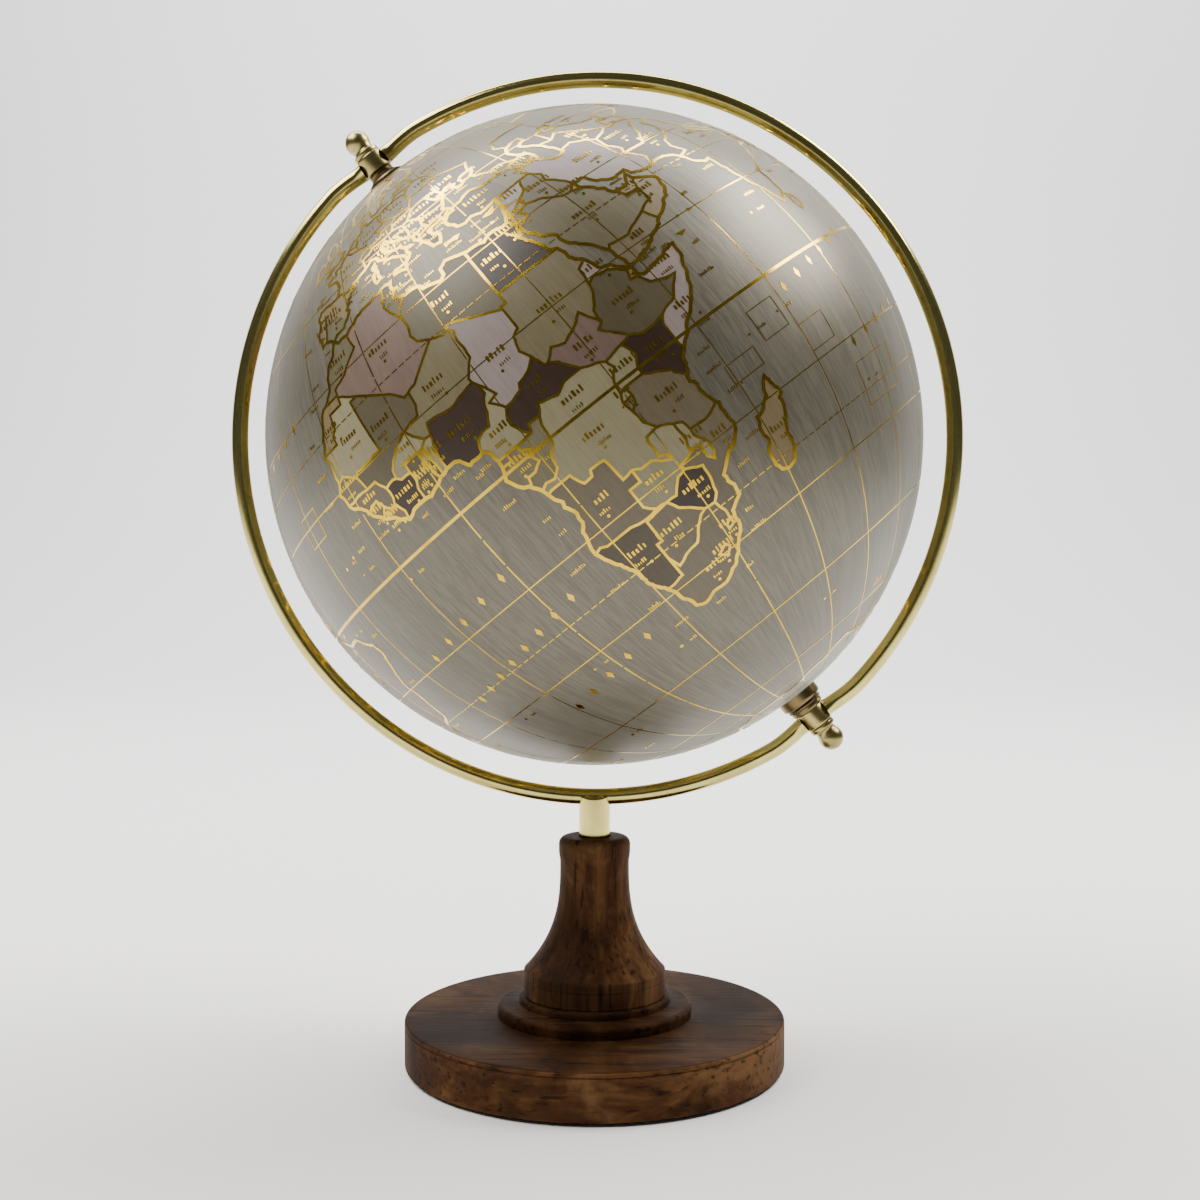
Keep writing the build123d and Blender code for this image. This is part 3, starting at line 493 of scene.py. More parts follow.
# ---- materials ----------------------------------------------------------------------------------
class Nodes:
    """Builds a material's node tree."""

    def __init__(self, name, **sockets):
        self.material = bpy.data.materials.new(name)
        self.material.use_nodes = True
        self.tree = self.material.node_tree
        self.shader = self.tree.nodes["Principled BSDF"]
        for socket, value in sockets.items():
            self.shader.inputs[socket.replace("_", " ")].default_value = value

    def add(self, kind, settings=None, **inputs):
        node = self.tree.nodes.new("ShaderNode" + kind)
        for key, value in (settings or {}).items():
            setattr(node, key, value)
        for key, value in inputs.items():
            self.feed(node.inputs[key.replace("_", " ")], value)
        return node

    def feed(self, socket, value):
        if isinstance(value, bpy.types.NodeSocket):
            self.tree.links.new(value, socket)
        else:
            socket.default_value = value

    def maths(self, operation, a, b=0.0):
        node = self.tree.nodes.new("ShaderNodeMath")
        node.operation = operation
        self.feed(node.inputs[0], a)
        self.feed(node.inputs[1], b)
        return node.outputs[0]

    def place(self, scale=(1, 1, 1)):
        """The piece's own coordinates in metres, scaled."""
        where = self.add("TexCoord").outputs["Object"]
        return self.add("Mapping", Vector=where, Scale=scale).outputs["Vector"]

    def noise(self, vector, scale, detail=4.0, roughness=0.5, distortion=0.0):
        return self.add(
            "TexNoise",
            Vector=vector,
            Scale=scale,
            Detail=detail,
            Roughness=roughness,
            Distortion=distortion,
        ).outputs["Fac"]

    def ramp(self, factor, *stops):
        """A colour ramp from (position, colour) stops. A colour may be one number, for a grey."""
        node = self.add("ValToRGB", Fac=factor)
        while len(node.color_ramp.elements) < len(stops):
            node.color_ramp.elements.new(0.5)
        for element, (position, colour) in zip(node.color_ramp.elements, stops):
            element.position = position
            rgb = colour if isinstance(colour, tuple) else (colour, colour, colour)
            element.color = (*rgb, 1.0)
        return node.outputs["Color"]

    def mix(self, factor, a, b, blend="MIX"):
        node = self.tree.nodes.new("ShaderNodeMix")
        node.data_type = "RGBA"
        node.blend_type = blend
        self.feed(node.inputs[0], factor)
        self.feed(node.inputs[6], (*a, 1.0) if isinstance(a, tuple) else a)
        self.feed(node.inputs[7], (*b, 1.0) if isinstance(b, tuple) else b)
        return node.outputs[2]

    def scaled(self, value, share, base):
        """The value times a share, plus a base."""
        return self.maths("ADD", self.maths("MULTIPLY", value, share), base)

    def finish(self, colour, roughness, height, depth, strength):
        self.feed(self.shader.inputs["Base Color"], colour)
        self.feed(self.shader.inputs["Roughness"], roughness)
        bump = self.add("Bump", Height=height, Distance=depth, Strength=strength)
        self.feed(self.shader.inputs["Normal"], bump.outputs["Normal"])
        return self.material


def brass_material(name, bright, dull, gloss):
    """Lacquered brass: clear polish with cloudy tarnish and fine rubbing marks."""
    n = Nodes(name, Metallic=1.0)
    cloud = n.noise(n.place(), 55.0, 5.0, 0.6)
    specks = n.noise(n.place(), 900.0, 3.0, 0.6)
    tarnish = n.ramp(cloud, (0.42, 0.0), (0.72, 1.0))
    colour = n.mix(tarnish, bright, dull)
    colour = n.mix(n.ramp(specks, (0.62, 0.0), (0.8, 0.35)), colour, (0.16, 0.12, 0.045))
    return n.finish(colour, n.scaled(cloud, 0.16, gloss), specks, 0.00003, 0.25)


def wood_material(name, along, scale=1.0, light=1.0, shade_painted_above=None):
    """Dark stained hardwood: blotchy brown figure, pores along the grain, an oiled finish.

    Wood above a given height in metres, the base's top and its mouldings, is painted darker: painted shade,
    so the top face reads no lighter than the front under the light from above.
    """
    n = Nodes(name, Specular_IOR_Level=0.03)
    stretch = [8.0, 8.0, 8.0]
    stretch["XYZ".index(along)] = 1.0
    grain_place = n.place(tuple(s * scale for s in stretch))
    pore_place = n.place(tuple(s * (11.0 if s > 5 else 5.0) for s in stretch))
    figure = n.noise(grain_place, 9.0, 6.0, 0.62, 1.4)
    bands = n.noise(grain_place, 30.0, 4.0, 0.6, 0.8)
    pores = n.noise(pore_place, 7.0, 2.0, 0.5)
    blotches = n.noise(n.place(), 30.0, 6.0, 0.66, 0.8)
    wide = n.noise(n.place(), 13.0, 3.0, 0.5, 0.6)
    colour = n.ramp(
        figure,
        (0.30, (0.028, 0.012, 0.005)),
        (0.45, (0.063, 0.027, 0.011)),
        (0.58, (0.103, 0.047, 0.018)),
        (0.74, (0.152, 0.076, 0.032)),
    )
    colour = n.mix(n.ramp(bands, (0.40, 0.0), (0.64, 0.6)), colour, (0.037, 0.016, 0.008))
    colour = n.mix(n.ramp(blotches, (0.50, 0.0), (0.66, 0.75)), colour, (0.166, 0.090, 0.040))
    colour = n.mix(n.ramp(blotches, (0.34, 0.75), (0.45, 0.0)), colour, (0.018, 0.009, 0.006))
    colour = n.mix(n.ramp(wide, (0.36, 0.75), (0.50, 0.0)), colour, (0.022, 0.011, 0.005))
    colour = n.mix(n.ramp(pores, (0.58, 0.0), (0.68, 0.75)), colour, (0.013, 0.006, 0.004))
    # multiplies the whole colour by a lightness; the spindle's lighter copy of this wood is painted light
    colour = n.mix(1.0, colour, (light, light, light), "MULTIPLY")
    # painted shade: everything above the given height, the top of the base, is multiplied darker
    if shade_painted_above is not None:
        height = n.add("SeparateXYZ", Vector=n.place()).outputs["Z"]
        above = n.maths("GREATER_THAN", height, shade_painted_above)
        colour = n.mix(above, colour, n.mix(1.0, colour, (0.44, 0.40, 0.36), "MULTIPLY"))
    relief = n.maths("SUBTRACT", bands, pores)
    return n.finish(colour, n.scaled(figure, 0.20, 0.48), relief, 0.0002, 0.4)


def steel_material():
    n = Nodes("zinc_steel", Metallic=1.0)
    cloud = n.noise(n.place(), 300.0, 4.0)
    colour = n.ramp(cloud, (0.3, (0.42, 0.43, 0.45)), (0.7, (0.62, 0.62, 0.61)))
    return n.finish(colour, n.scaled(cloud, 0.2, 0.2), cloud, 0.00002, 0.3)


def felt_material():
    n = Nodes("green_felt", Sheen_Weight=0.5, Sheen_Roughness=0.5)
    fibres = n.noise(n.place(), 1800.0, 4.0, 0.7, 1.0)
    cloud = n.noise(n.place(), 90.0, 3.0)
    colour = n.ramp(fibres, (0.3, (0.012, 0.030, 0.018)), (0.7, (0.045, 0.085, 0.052)))
    colour = n.mix(n.ramp(cloud, (0.3, 0.0), (0.8, 0.4)), colour, (0.022, 0.045, 0.030))
    return n.finish(colour, n.scaled(fibres, 0.1, 0.88), fibres, 0.0003, 0.8)


def plastic_material():
    n = Nodes("moulded_plastic", Specular_IOR_Level=0.4)
    grain = n.noise(n.place(), 700.0, 3.0)
    colour = n.ramp(grain, (0.3, (0.66, 0.65, 0.62)), (0.7, (0.76, 0.75, 0.72)))
    return n.finish(colour, n.scaled(grain, 0.12, 0.42), grain, 0.00003, 0.3)


def print_material(name, colour, streaks, sheen):
    """Printed skin of the ball, with fine brush streaks that run from pole to pole."""
    n = Nodes(name, Metallic=sheen, Specular_IOR_Level=0.42, Coat_Weight=0.14, Coat_Roughness=0.30)
    to_ball = tilted().inverted()
    where = n.add(
        "Mapping",
        Vector=n.add("TexCoord").outputs["Object"],
        Location=to_ball.to_translation(),
        Rotation=to_ball.to_euler(),
    ).outputs["Vector"]
    parts = n.add("SeparateXYZ", Vector=where)
    flat = n.add("CombineXYZ", X=parts.outputs["X"], Y=parts.outputs["Y"], Z=0.0).outputs[0]
    ring = n.add("VectorMath", {"operation": "NORMALIZE"}, Vector=flat).outputs["Vector"]
    ring_parts = n.add("SeparateXYZ", Vector=ring)
    wander = n.maths("MULTIPLY", n.noise(where, 14.0, 2.0), 0.06)
    around = n.maths("ADD", ring_parts.outputs["X"], wander)

    def along_meridians(height_scale):
        height = n.maths("MULTIPLY", parts.outputs["Z"], height_scale)
        return n.add("CombineXYZ", X=around, Y=ring_parts.outputs["Y"], Z=height).outputs[0]

    coarse = n.noise(along_meridians(0.9), 55.0, 4.0, 0.7)
    fine = n.noise(along_meridians(0.6), 210.0, 3.0, 0.7)
    cloud = n.noise(where, 30.0, 3.0, 0.6)
    both = n.scaled(coarse, 0.4, n.maths("MULTIPLY", fine, 0.6))
    light = tuple(min(1.0, c * (1.0 + streaks)) for c in colour)
    dark = tuple(c * (1.0 - streaks) for c in colour)
    worn = tuple(c * (1.0 - 0.5 * streaks) for c in colour)
    ink = n.ramp(both, (0.43, dark), (0.50, colour), (0.57, light))
    ink = n.mix(n.ramp(cloud, (0.35, 0.0), (0.75, 0.35)), ink, worn)
    return n.finish(ink, n.scaled(both, 0.30, 0.28), both, 0.00004, 0.15 + streaks * 0.4)


def foil_material():
    """Stamped gold foil, a little uneven where it was pressed."""
    n = Nodes("gold_foil", Metallic=1.0)
    cloud = n.noise(n.place(), 160.0, 4.0, 0.6)
    colour = n.ramp(
        cloud,
        (0.3, (0.56, 0.35, 0.022)),
        (0.5, (0.72, 0.475, 0.035)),
        (0.75, (0.82, 0.58, 0.06)),
    )
    return n.finish(colour, n.scaled(cloud, 0.12, 0.11), cloud, 0.00003, 0.3)


BRASS = brass_material("polished_brass", (0.66, 0.575, 0.190), (0.46, 0.39, 0.125), 0.09)
CAST_BRASS = brass_material("satin_brass", (0.46, 0.39, 0.150), (0.24, 0.195, 0.085), 0.22)
# Very dark brass for the collars, washers and pole caps: painted shade for the shadow in the narrow gap
# between the ball and each boss.
SHADE_DARK_BRASS = brass_material("shade_darkened_brass", (0.20, 0.150, 0.070), (0.075, 0.055, 0.032), 0.25)
# the base's top face is painted darker as shade
DISC_WOOD = wood_material("base_wood", "X", shade_painted_above=(BASE_TOP_Z - 0.2) * MM)
# the spindle takes a lighter copy of the base's wood: painted light, standing in for the light that falls
# on it from the left front
POST_WOOD = wood_material("spindle_wood", "Z", 1.3, light=1.1)
STEEL = steel_material()
FELT = felt_material()
PLASTIC = plastic_material()
FOIL = foil_material()
INK_COLOURS = {
    "sea": (0.152, 0.139, 0.104),
    "olive": (0.104, 0.089, 0.046),
    "khaki": (0.148, 0.126, 0.066),
    "bronze": (0.084, 0.069, 0.036),
    "cream": (0.236, 0.210, 0.120),
    "mauve": (0.150, 0.100, 0.078),
    "lavender": (0.250, 0.204, 0.190),
    "taupe": (0.126, 0.102, 0.060),
    "sand": (0.165, 0.122, 0.056),
    "umber": (0.032, 0.016, 0.009),
    "charcoal": (0.030, 0.019, 0.014),
    "moss": (0.060, 0.044, 0.021),
    "ice": (0.300, 0.290, 0.246),
}
INK_NAMES = list(INK_COLOURS)
BRUSHED = {"streaks": 0.20, "sheen": 0.45}  # sea and ice
SMOOTH = {"streaks": 0.09, "sheen": 0.0}  # land
INKS_ON_BALL = [
    print_material("print_" + name, colour, **(BRUSHED if name in ("sea", "ice") else SMOOTH))
    for name, colour in INK_COLOURS.items()
]


# ---- stand --------------------------------------------------------------------------------------
def base_disc():
    """Turned base: groove under the top edge, two mouldings, mortise above and pocket below."""
    foot, bead_top = (corner.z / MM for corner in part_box("base_disc"))
    edge, top, step_top = BASE_R, BASE_TOP_Z, STEP_TOP_Z
    profile = [(POCKET_R, foot), (40.0, foot)]
    profile += arc(edge - 0.6, foot + 0.6, 0.6, -90, 0)
    profile += [(edge, top - 6.0)]
    profile += [(edge, top - 1.85), (edge - 0.25, top - 1.70), (edge - 0.35, top - 1.5)]
    profile += [(edge - 0.25, top - 1.30), (edge, top - 1.15)]
    profile += arc(edge - 0.9, top - 0.9, 0.9, 0, 90)
    profile += [(50.0, top), (40.0, top), (STEP_R + 0.5, top), (STEP_R, top + 0.25)]
    profile += arc(STEP_R - 1.6, step_top - 1.6, 1.6, 0, 90)
    profile += [(BEAD_R + 0.4, step_top), (BEAD_R, step_top + 0.25)]
    profile += arc(BEAD_R - 1.1, bead_top - 1.1, 1.1, 0, 90)
    profile += [(MORTISE_R, bead_top), (MORTISE_R, MORTISE_Z), (ROD_HOLE_R, MORTISE_Z)]
    profile += [(ROD_HOLE_R, POCKET_TOP_Z), (POCKET_R, POCKET_TOP_Z)]
    turned("turned_base", "base_disc", profile, DISC_WOOD, "stand", segments=288)


def spindle():
    """Turned post: straight foot with a rolled edge, a cove up to a slim neck, a rounded crown."""
    low, top = BEAD_TOP_Z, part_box("spindle")[1].z / MM
    profile = [(ROD_HOLE_R, TENON_Z), (TENON_R, TENON_Z), (TENON_R, low)]
    profile += [(BAND_R - 0.3, low), (BAND_R, low + 0.3)]
    profile += [(BAND_R, BAND_TOP_Z - 3.2), (BAND_R - 0.22, BAND_TOP_Z - 3.0), (BAND_R, BAND_TOP_Z - 2.8)]
    profile += arc(BAND_R - 0.5, BAND_TOP_Z - 0.5, 0.5, 0, 70)
    for k in range(1, 41):
        share = 1 - k / 40
        z = NECK_Z - (NECK_Z - BAND_TOP_Z) * share
        profile.append((NECK_R + (BAND_R - NECK_R - 0.35) * share**COVE_POWER, z))
    for k in range(1, 6):
        rise = k / 5
        ease = rise * rise * (3 - 2 * rise)
        profile.append((NECK_R + (LIP_R - NECK_R) * ease, NECK_Z + (top - 4.6 - NECK_Z) * rise))
    profile += arc(LIP_R - 2.4, top - 2.4, 2.4, 0, 90)
    profile += [(SOCKET_R + 0.35, top), (SOCKET_R, top - 0.35)]
    profile += [(SOCKET_R, SOCKET_Z), (ROD_HOLE_R, SOCKET_Z)]
    turned("turned_spindle", "spindle", profile, POST_WOOD, "stand")


def felt_pad():
    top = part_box("felt_pad")[1].z / MM
    profile = [(0, 0), (30, 0), (FELT_R - FELT_EDGE, 0)]
    profile += arc(FELT_R - FELT_EDGE, FELT_EDGE, FELT_EDGE, -90, 0, 4)
    profile += [(FELT_R, top), (30, top), (0, top)]
    turned("felt_foot", "felt_pad", profile, FELT, "stand")


def loops(rows, around):
    """Faces that join rings of vertices, with a cap at each end."""
    faces = []
    for i in range(rows - 1):
        low, high = i * around, (i + 1) * around
        for k in range(around):
            n = (k + 1) % around
            faces.append((low + k, low + n, high + n, high + k))
    last = (rows - 1) * around
    faces.append(tuple(range(around - 1, -1, -1)))
    faces.append(tuple(last + k for k in range(around)))
    return faces


def ring_stem():
    """Brass stem with a small brazed skirt that follows the ring's underside."""
    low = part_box("ring_stem")[0].z / MM
    underside = CENTRE.z / MM - RING_R
    around = 96
    turns = [2 * math.pi * k / around for k in range(around)]
    circle = [(math.cos(a), math.sin(a)) for a in turns]
    verts = []
    for r, z in ((STEM_BORE_R, low), (STEM_R, low), (STEM_R, 74.0), (STEM_R, 78.0), (STEM_R, 80.5)):
        verts += [(r * MM * c, r * MM * s, z * MM) for c, s in circle]
    # saddled to the ring: radius, and how far each loop is sunk past the ring's underside
    saddle = ((STEM_R, 0.5), (STEM_R + 0.1, 0.12), (3.6, 0.9), (2.0, 1.0), (0.5, 1.0))
    for r, sink in saddle:
        for c, s in circle:
            x, y = r * c, r * s
            lift = RING_R - math.sqrt(RING_R**2 - x * x)
            drop = math.sqrt(max(0.0, RING_TUBE_R**2 - y * y))
            edge = 0.0 if abs(y) < RING_TUBE_R else 0.25 * (abs(y) - RING_TUBE_R)
            verts.append((x * MM, y * MM, (underside + lift - drop - edge + sink) * MM))
    faces = loops(len(verts) // around, around)
    made = piece("brass_stem", verts, faces, [BRASS], "stand", sharp=50)
    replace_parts(made, "ring_stem")


def hoop_path(side):
    """Points in mm down one side of the ring, in the ball's frame: drawn in at both bosses."""
    turn = math.radians(DRAWN_IN)
    join = Vector((math.sin(turn), 0, math.cos(turn))) * RING_R
    start = Vector((0, 0, PIVOT_R))
    reach = (join - start).length
    out, on = Vector((reach, 0, 0)), Vector((math.cos(turn), 0, -math.sin(turn))) * reach
    bend = []
    for k in range(24):
        t = k / 24
        p = start * (2 * t**3 - 3 * t**2 + 1) + out * (t**3 - 2 * t**2 + t)
        p += join * (3 * t**2 - 2 * t**3) + on * (t**3 - t**2)
        if p.x > HOOP_END_X:
            bend.append(p)
    steps = 150
    turns = [turn + (math.pi - 2 * turn) * k / steps for k in range(steps + 1)]
    main = [Vector((math.sin(a), 0, math.cos(a))) * RING_R for a in turns]
    path = bend + main + [Vector((p.x, 0, -p.z)) for p in reversed(bend)]
    return [Vector((side * p.x, 0, p.z)) for p in path]


def half_hoop(name, node, side):
    """Half of the ring: a bent tube whose ends flare where they are brazed to the bosses."""
    around, flare_length, near_boss = 32, 4.2, 90
    path = hoop_path(side)
    verts = []
    for i, p in enumerate(path):
        way = (path[min(i + 1, len(path) - 1)] - path[max(i - 1, 0)]).normalized()
        outwards = Vector((way.z, 0, -way.x)) * -side
        flare = 0.0
        if abs(p.z) > near_boss:
            flare = max(0.0, 1 - (abs(p.x) - HOOP_END_X) / flare_length) ** 2.0
        high, wide = RING_TUBE_R + 0.15 * flare, RING_TUBE_R + 1.2 * flare
        for k in range(around):
            b = 2 * math.pi * k / around
            v = p + outwards * (high * math.cos(b)) + Vector((0, wide * math.sin(b), 0))
            verts.append(tuple(v * MM))
    matrix = Matrix.Translation(CENTRE) @ Matrix.Rotation(math.atan2(AXLE.x, AXLE.z), 4, "Y")
    made = piece(name, verts, loops(len(path), around), [BRASS], "stand", matrix, sharp=50)
    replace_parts(made, node)


def barrel_profile():
    """The boss that the axle runs through, with rounded rims."""
    rim = 0.6
    profile = [(BORE_R, BOSS_IN), (4.0, BOSS_IN)]
    profile += arc(BOSS_R - rim, BOSS_IN + rim, rim, -80, 0, 4)
    profile += [(BOSS_R, BOSS_OUT - 1.3)]
    profile += arc(BOSS_R - rim, BOSS_OUT - rim, rim, 0, 80, 4)
    return profile + [(BORE_R, BOSS_OUT)]


def knob_profile():
    """A round flange, a short neck and a ball."""
    rim, neck_z = 0.6, FLANGE_TOP + 0.9
    profile = [(BORE_R, BOSS_OUT + 0.02), (3.5, BOSS_OUT + 0.02)]
    profile += arc(3.6, BOSS_OUT + 0.62, rim, -90, 0, 5)
    profile += arc(3.6, FLANGE_TOP - 0.5, rim, 0, 75, 5)
    profile += [(3.36, FLANGE_TOP + 0.35), (3.22, neck_z - 0.2), (3.2, neck_z), (3.3, neck_z + 0.45)]
    profile += arc(0, BALL_AT, KNOB_R, -30, 90, 18)[:-1]
    return profile + [(0, BALL_AT + KNOB_R), (0, KNOB_FLOOR), (BORE_R, KNOB_FLOOR)]


def collar_profile(radius):
    profile = [(BORE_R, SPACER_IN), (radius - 0.3, SPACER_IN), (radius, SPACER_IN + 0.3)]
    return profile + [(radius, BOSS_IN - 0.5), (radius - 0.4, BOSS_IN), (BORE_R, BOSS_IN)]


def washer_profile(radius):
    profile = [(BORE_R, WASHER_IN), (radius - 0.2, WASHER_IN), (radius, WASHER_IN + 0.2)]
    return profile + [(radius, SPACER_IN - 0.2), (radius - 0.2, SPACER_IN), (BORE_R, SPACER_IN)]


def cap_profile():
    """A flat dome that sits on the ball, with a hole for the axle."""
    profile = [(r, math.sqrt(GLOBE_R**2 - r * r) + 0.01) for r in (2.4, 4.5, CAP_R)]
    profile += arc(CAP_R - CAP_ROUNDING, CAP_TOP - CAP_ROUNDING, CAP_ROUNDING, 0, 90, 10)
    return profile + [(3.4, CAP_TOP), (2.6, CAP_TOP), (2.4, CAP_TOP - 0.2)]


def axle_end(end, matrix, collar_r, washer_r):
    """Everything brass at one end of the axle."""
    fittings = (
        ("_barrel", "_boss", barrel_profile(), CAST_BRASS, "stand"),
        ("_ball_knob", "_knob", knob_profile(), CAST_BRASS, "stand"),
        # the collar, washer and cap are painted dark, as shade
        ("_collar", "_spacer", collar_profile(collar_r), SHADE_DARK_BRASS, "stand"),
        ("_washer", "_thrust_washer", washer_profile(washer_r), SHADE_DARK_BRASS, "stand"),
        ("_cap", "_pole_cap", cap_profile(), SHADE_DARK_BRASS, "globe"),
    )
    for name, node, profile, material, body in fittings:
        turned(end + name, end + node, profile, material, body, matrix, 96)


# ---- map on the ball ----------------------------------------------------------------------------
FOIL_LIFT = 0.10 * MM
FOIL_ROOT = 0.08 * MM  # how far a ribbon's underside is sunk in the skin
SKIN_R = BALL_R - FOIL_LIFT
SHELL_WALL = 2.2 * MM
POLE_HOLE_R = 5.0 * MM
POLE_HOLE_LAT = 90 - math.degrees(math.asin(POLE_HOLE_R / SKIN_R))
HOLE_SIDES = 48
GRID_STEP = 2.5  # degrees between the skin's vertices
GRID_CLEAR = 0.75  # degrees that the grid keeps from the map's lines
COAST_BEND, COAST_STEP = 0.13, 0.9  # how far a coast strays, as a share of its length, and degrees
FRONTIER_BEND, FRONTIER_STEP = 0.055, 1.1
STRAIGHT_OVER = 6  # degrees; a longer stretch of a frontier is a ruled line


def route(text):
    return [tuple(float(n) for n in pair.split(",")) for pair in text.split()]


def unit(lon, lat):
    """The point of the unit ball at a longitude and latitude in degrees."""
    a, b = math.radians(lon), math.radians(lat)
    return Vector((math.cos(b) * math.cos(a), math.cos(b) * math.sin(a), math.sin(b)))


def wiggled(start, end, amount, step):
    """Points from start to just before end, bent by small steps that depend only on the two ends."""
    first, last = sorted((start, end))
    chance = random.Random(f"{first}{last}")

    def bend(a, b):
        stretch = math.cos(math.radians((a[1] + b[1]) / 2))
        dx, dy = (b[0] - a[0]) * stretch, b[1] - a[1]
        length = math.hypot(dx, dy)
        if length < step:
            return [a]
        push = chance.uniform(-amount, amount)
        mid = ((a[0] + b[0]) / 2 - dy * push / max(stretch, 0.1), (a[1] + b[1]) / 2 + dx * push)
        return bend(a, mid) + bend(mid, b)

    points = bend(first, last) + [last]
    if start != first:
        points.reverse()
    return points[:-1]


def wiggled_route(text, amount, step):
    corners = route(text)
    points = []
    for start, end in zip(corners, corners[1:]):
        long_way = math.hypot(end[0] - start[0], end[1] - start[1]) > STRAIGHT_OVER
        ruled = long_way and amount == FRONTIER_BEND
        straight = start[0] == end[0] or start[1] == end[1] or ruled
        points += wiggled(start, end, 0.0 if straight else amount, step)
    return points + [corners[-1]]


def split_at_equator(points):
    """Adds a point wherever a line crosses the equator."""
    out = [points[0]]
    for a, b in zip(points, points[1:]):
        if a[1] * b[1] < 0:
            share = a[1] / (a[1] - b[1])
            out.append((round(a[0] + (b[0] - a[0]) * share, 4), 0.0))
        out.append(b)
    return out


def map_lines():
    """Every coast and frontier as points in degrees."""
    lines = []
    for text in COASTS.values():
        lines.append(split_at_equator(wiggled_route(text, COAST_BEND, COAST_STEP)))
    for text in FRONTIERS.values():
        for line in text.split(";"):
            lines.append(split_at_equator(wiggled_route(line, FRONTIER_BEND, FRONTIER_STEP)))
    return lines


def flat(lon, lat, side):
    """A stereographic view of one half from its far pole, which keeps angles."""
    reach = math.tan(math.radians(90 - side * lat) / 2)
    return Vector((reach * math.cos(math.radians(lon)), reach * math.sin(math.radians(lon))))


def unflat(v, side):
    """The longitude and latitude of a point in the flat view."""
    lat = side * (90 - 2 * math.degrees(math.atan(v.length)))
    return math.degrees(math.atan2(v.y, v.x)), 0.0 if abs(lat) < 1e-4 else lat


def half_chains(side, lines, equator):
    """What bounds and crosses one half, as (points, does the map draw it, does it close)."""
    hole = [(360 * k / HOLE_SIDES, side * POLE_HOLE_LAT) for k in range(HOLE_SIDES)]
    chains = [([(lon, 0.0) for lon in equator], False, True), (hole, False, True)]
    for line in lines:
        run = []
        for p in line + [None]:
            if p is not None and side * p[1] >= 0:
                run.append(p)
                continue
            if len(run) > 1:
                chains.append((run, True, False))
            run = []
    return chains


def filler(side, spots):
    """A grid of points on one half, clear of the spots that are there already."""
    near = KDTree(len(spots))
    for i, v in enumerate(spots):
        near.insert(unit(*unflat(v, side)), i)
    near.balance()
    grid = []
    for j in range(1, int(90 / GRID_STEP)):
        lat = side * j * GRID_STEP
        if abs(lat) > POLE_HOLE_LAT - 1.0:
            continue
        count = max(12, round(360 / GRID_STEP * math.cos(math.radians(lat))))
        for k in range(count):
            lon = 360 * (k + 0.5 * (j % 2)) / count
            if near.find(unit(lon, lat))[2] > math.radians(GRID_CLEAR):
                grid.append(flat(lon, lat, side))
    return grid


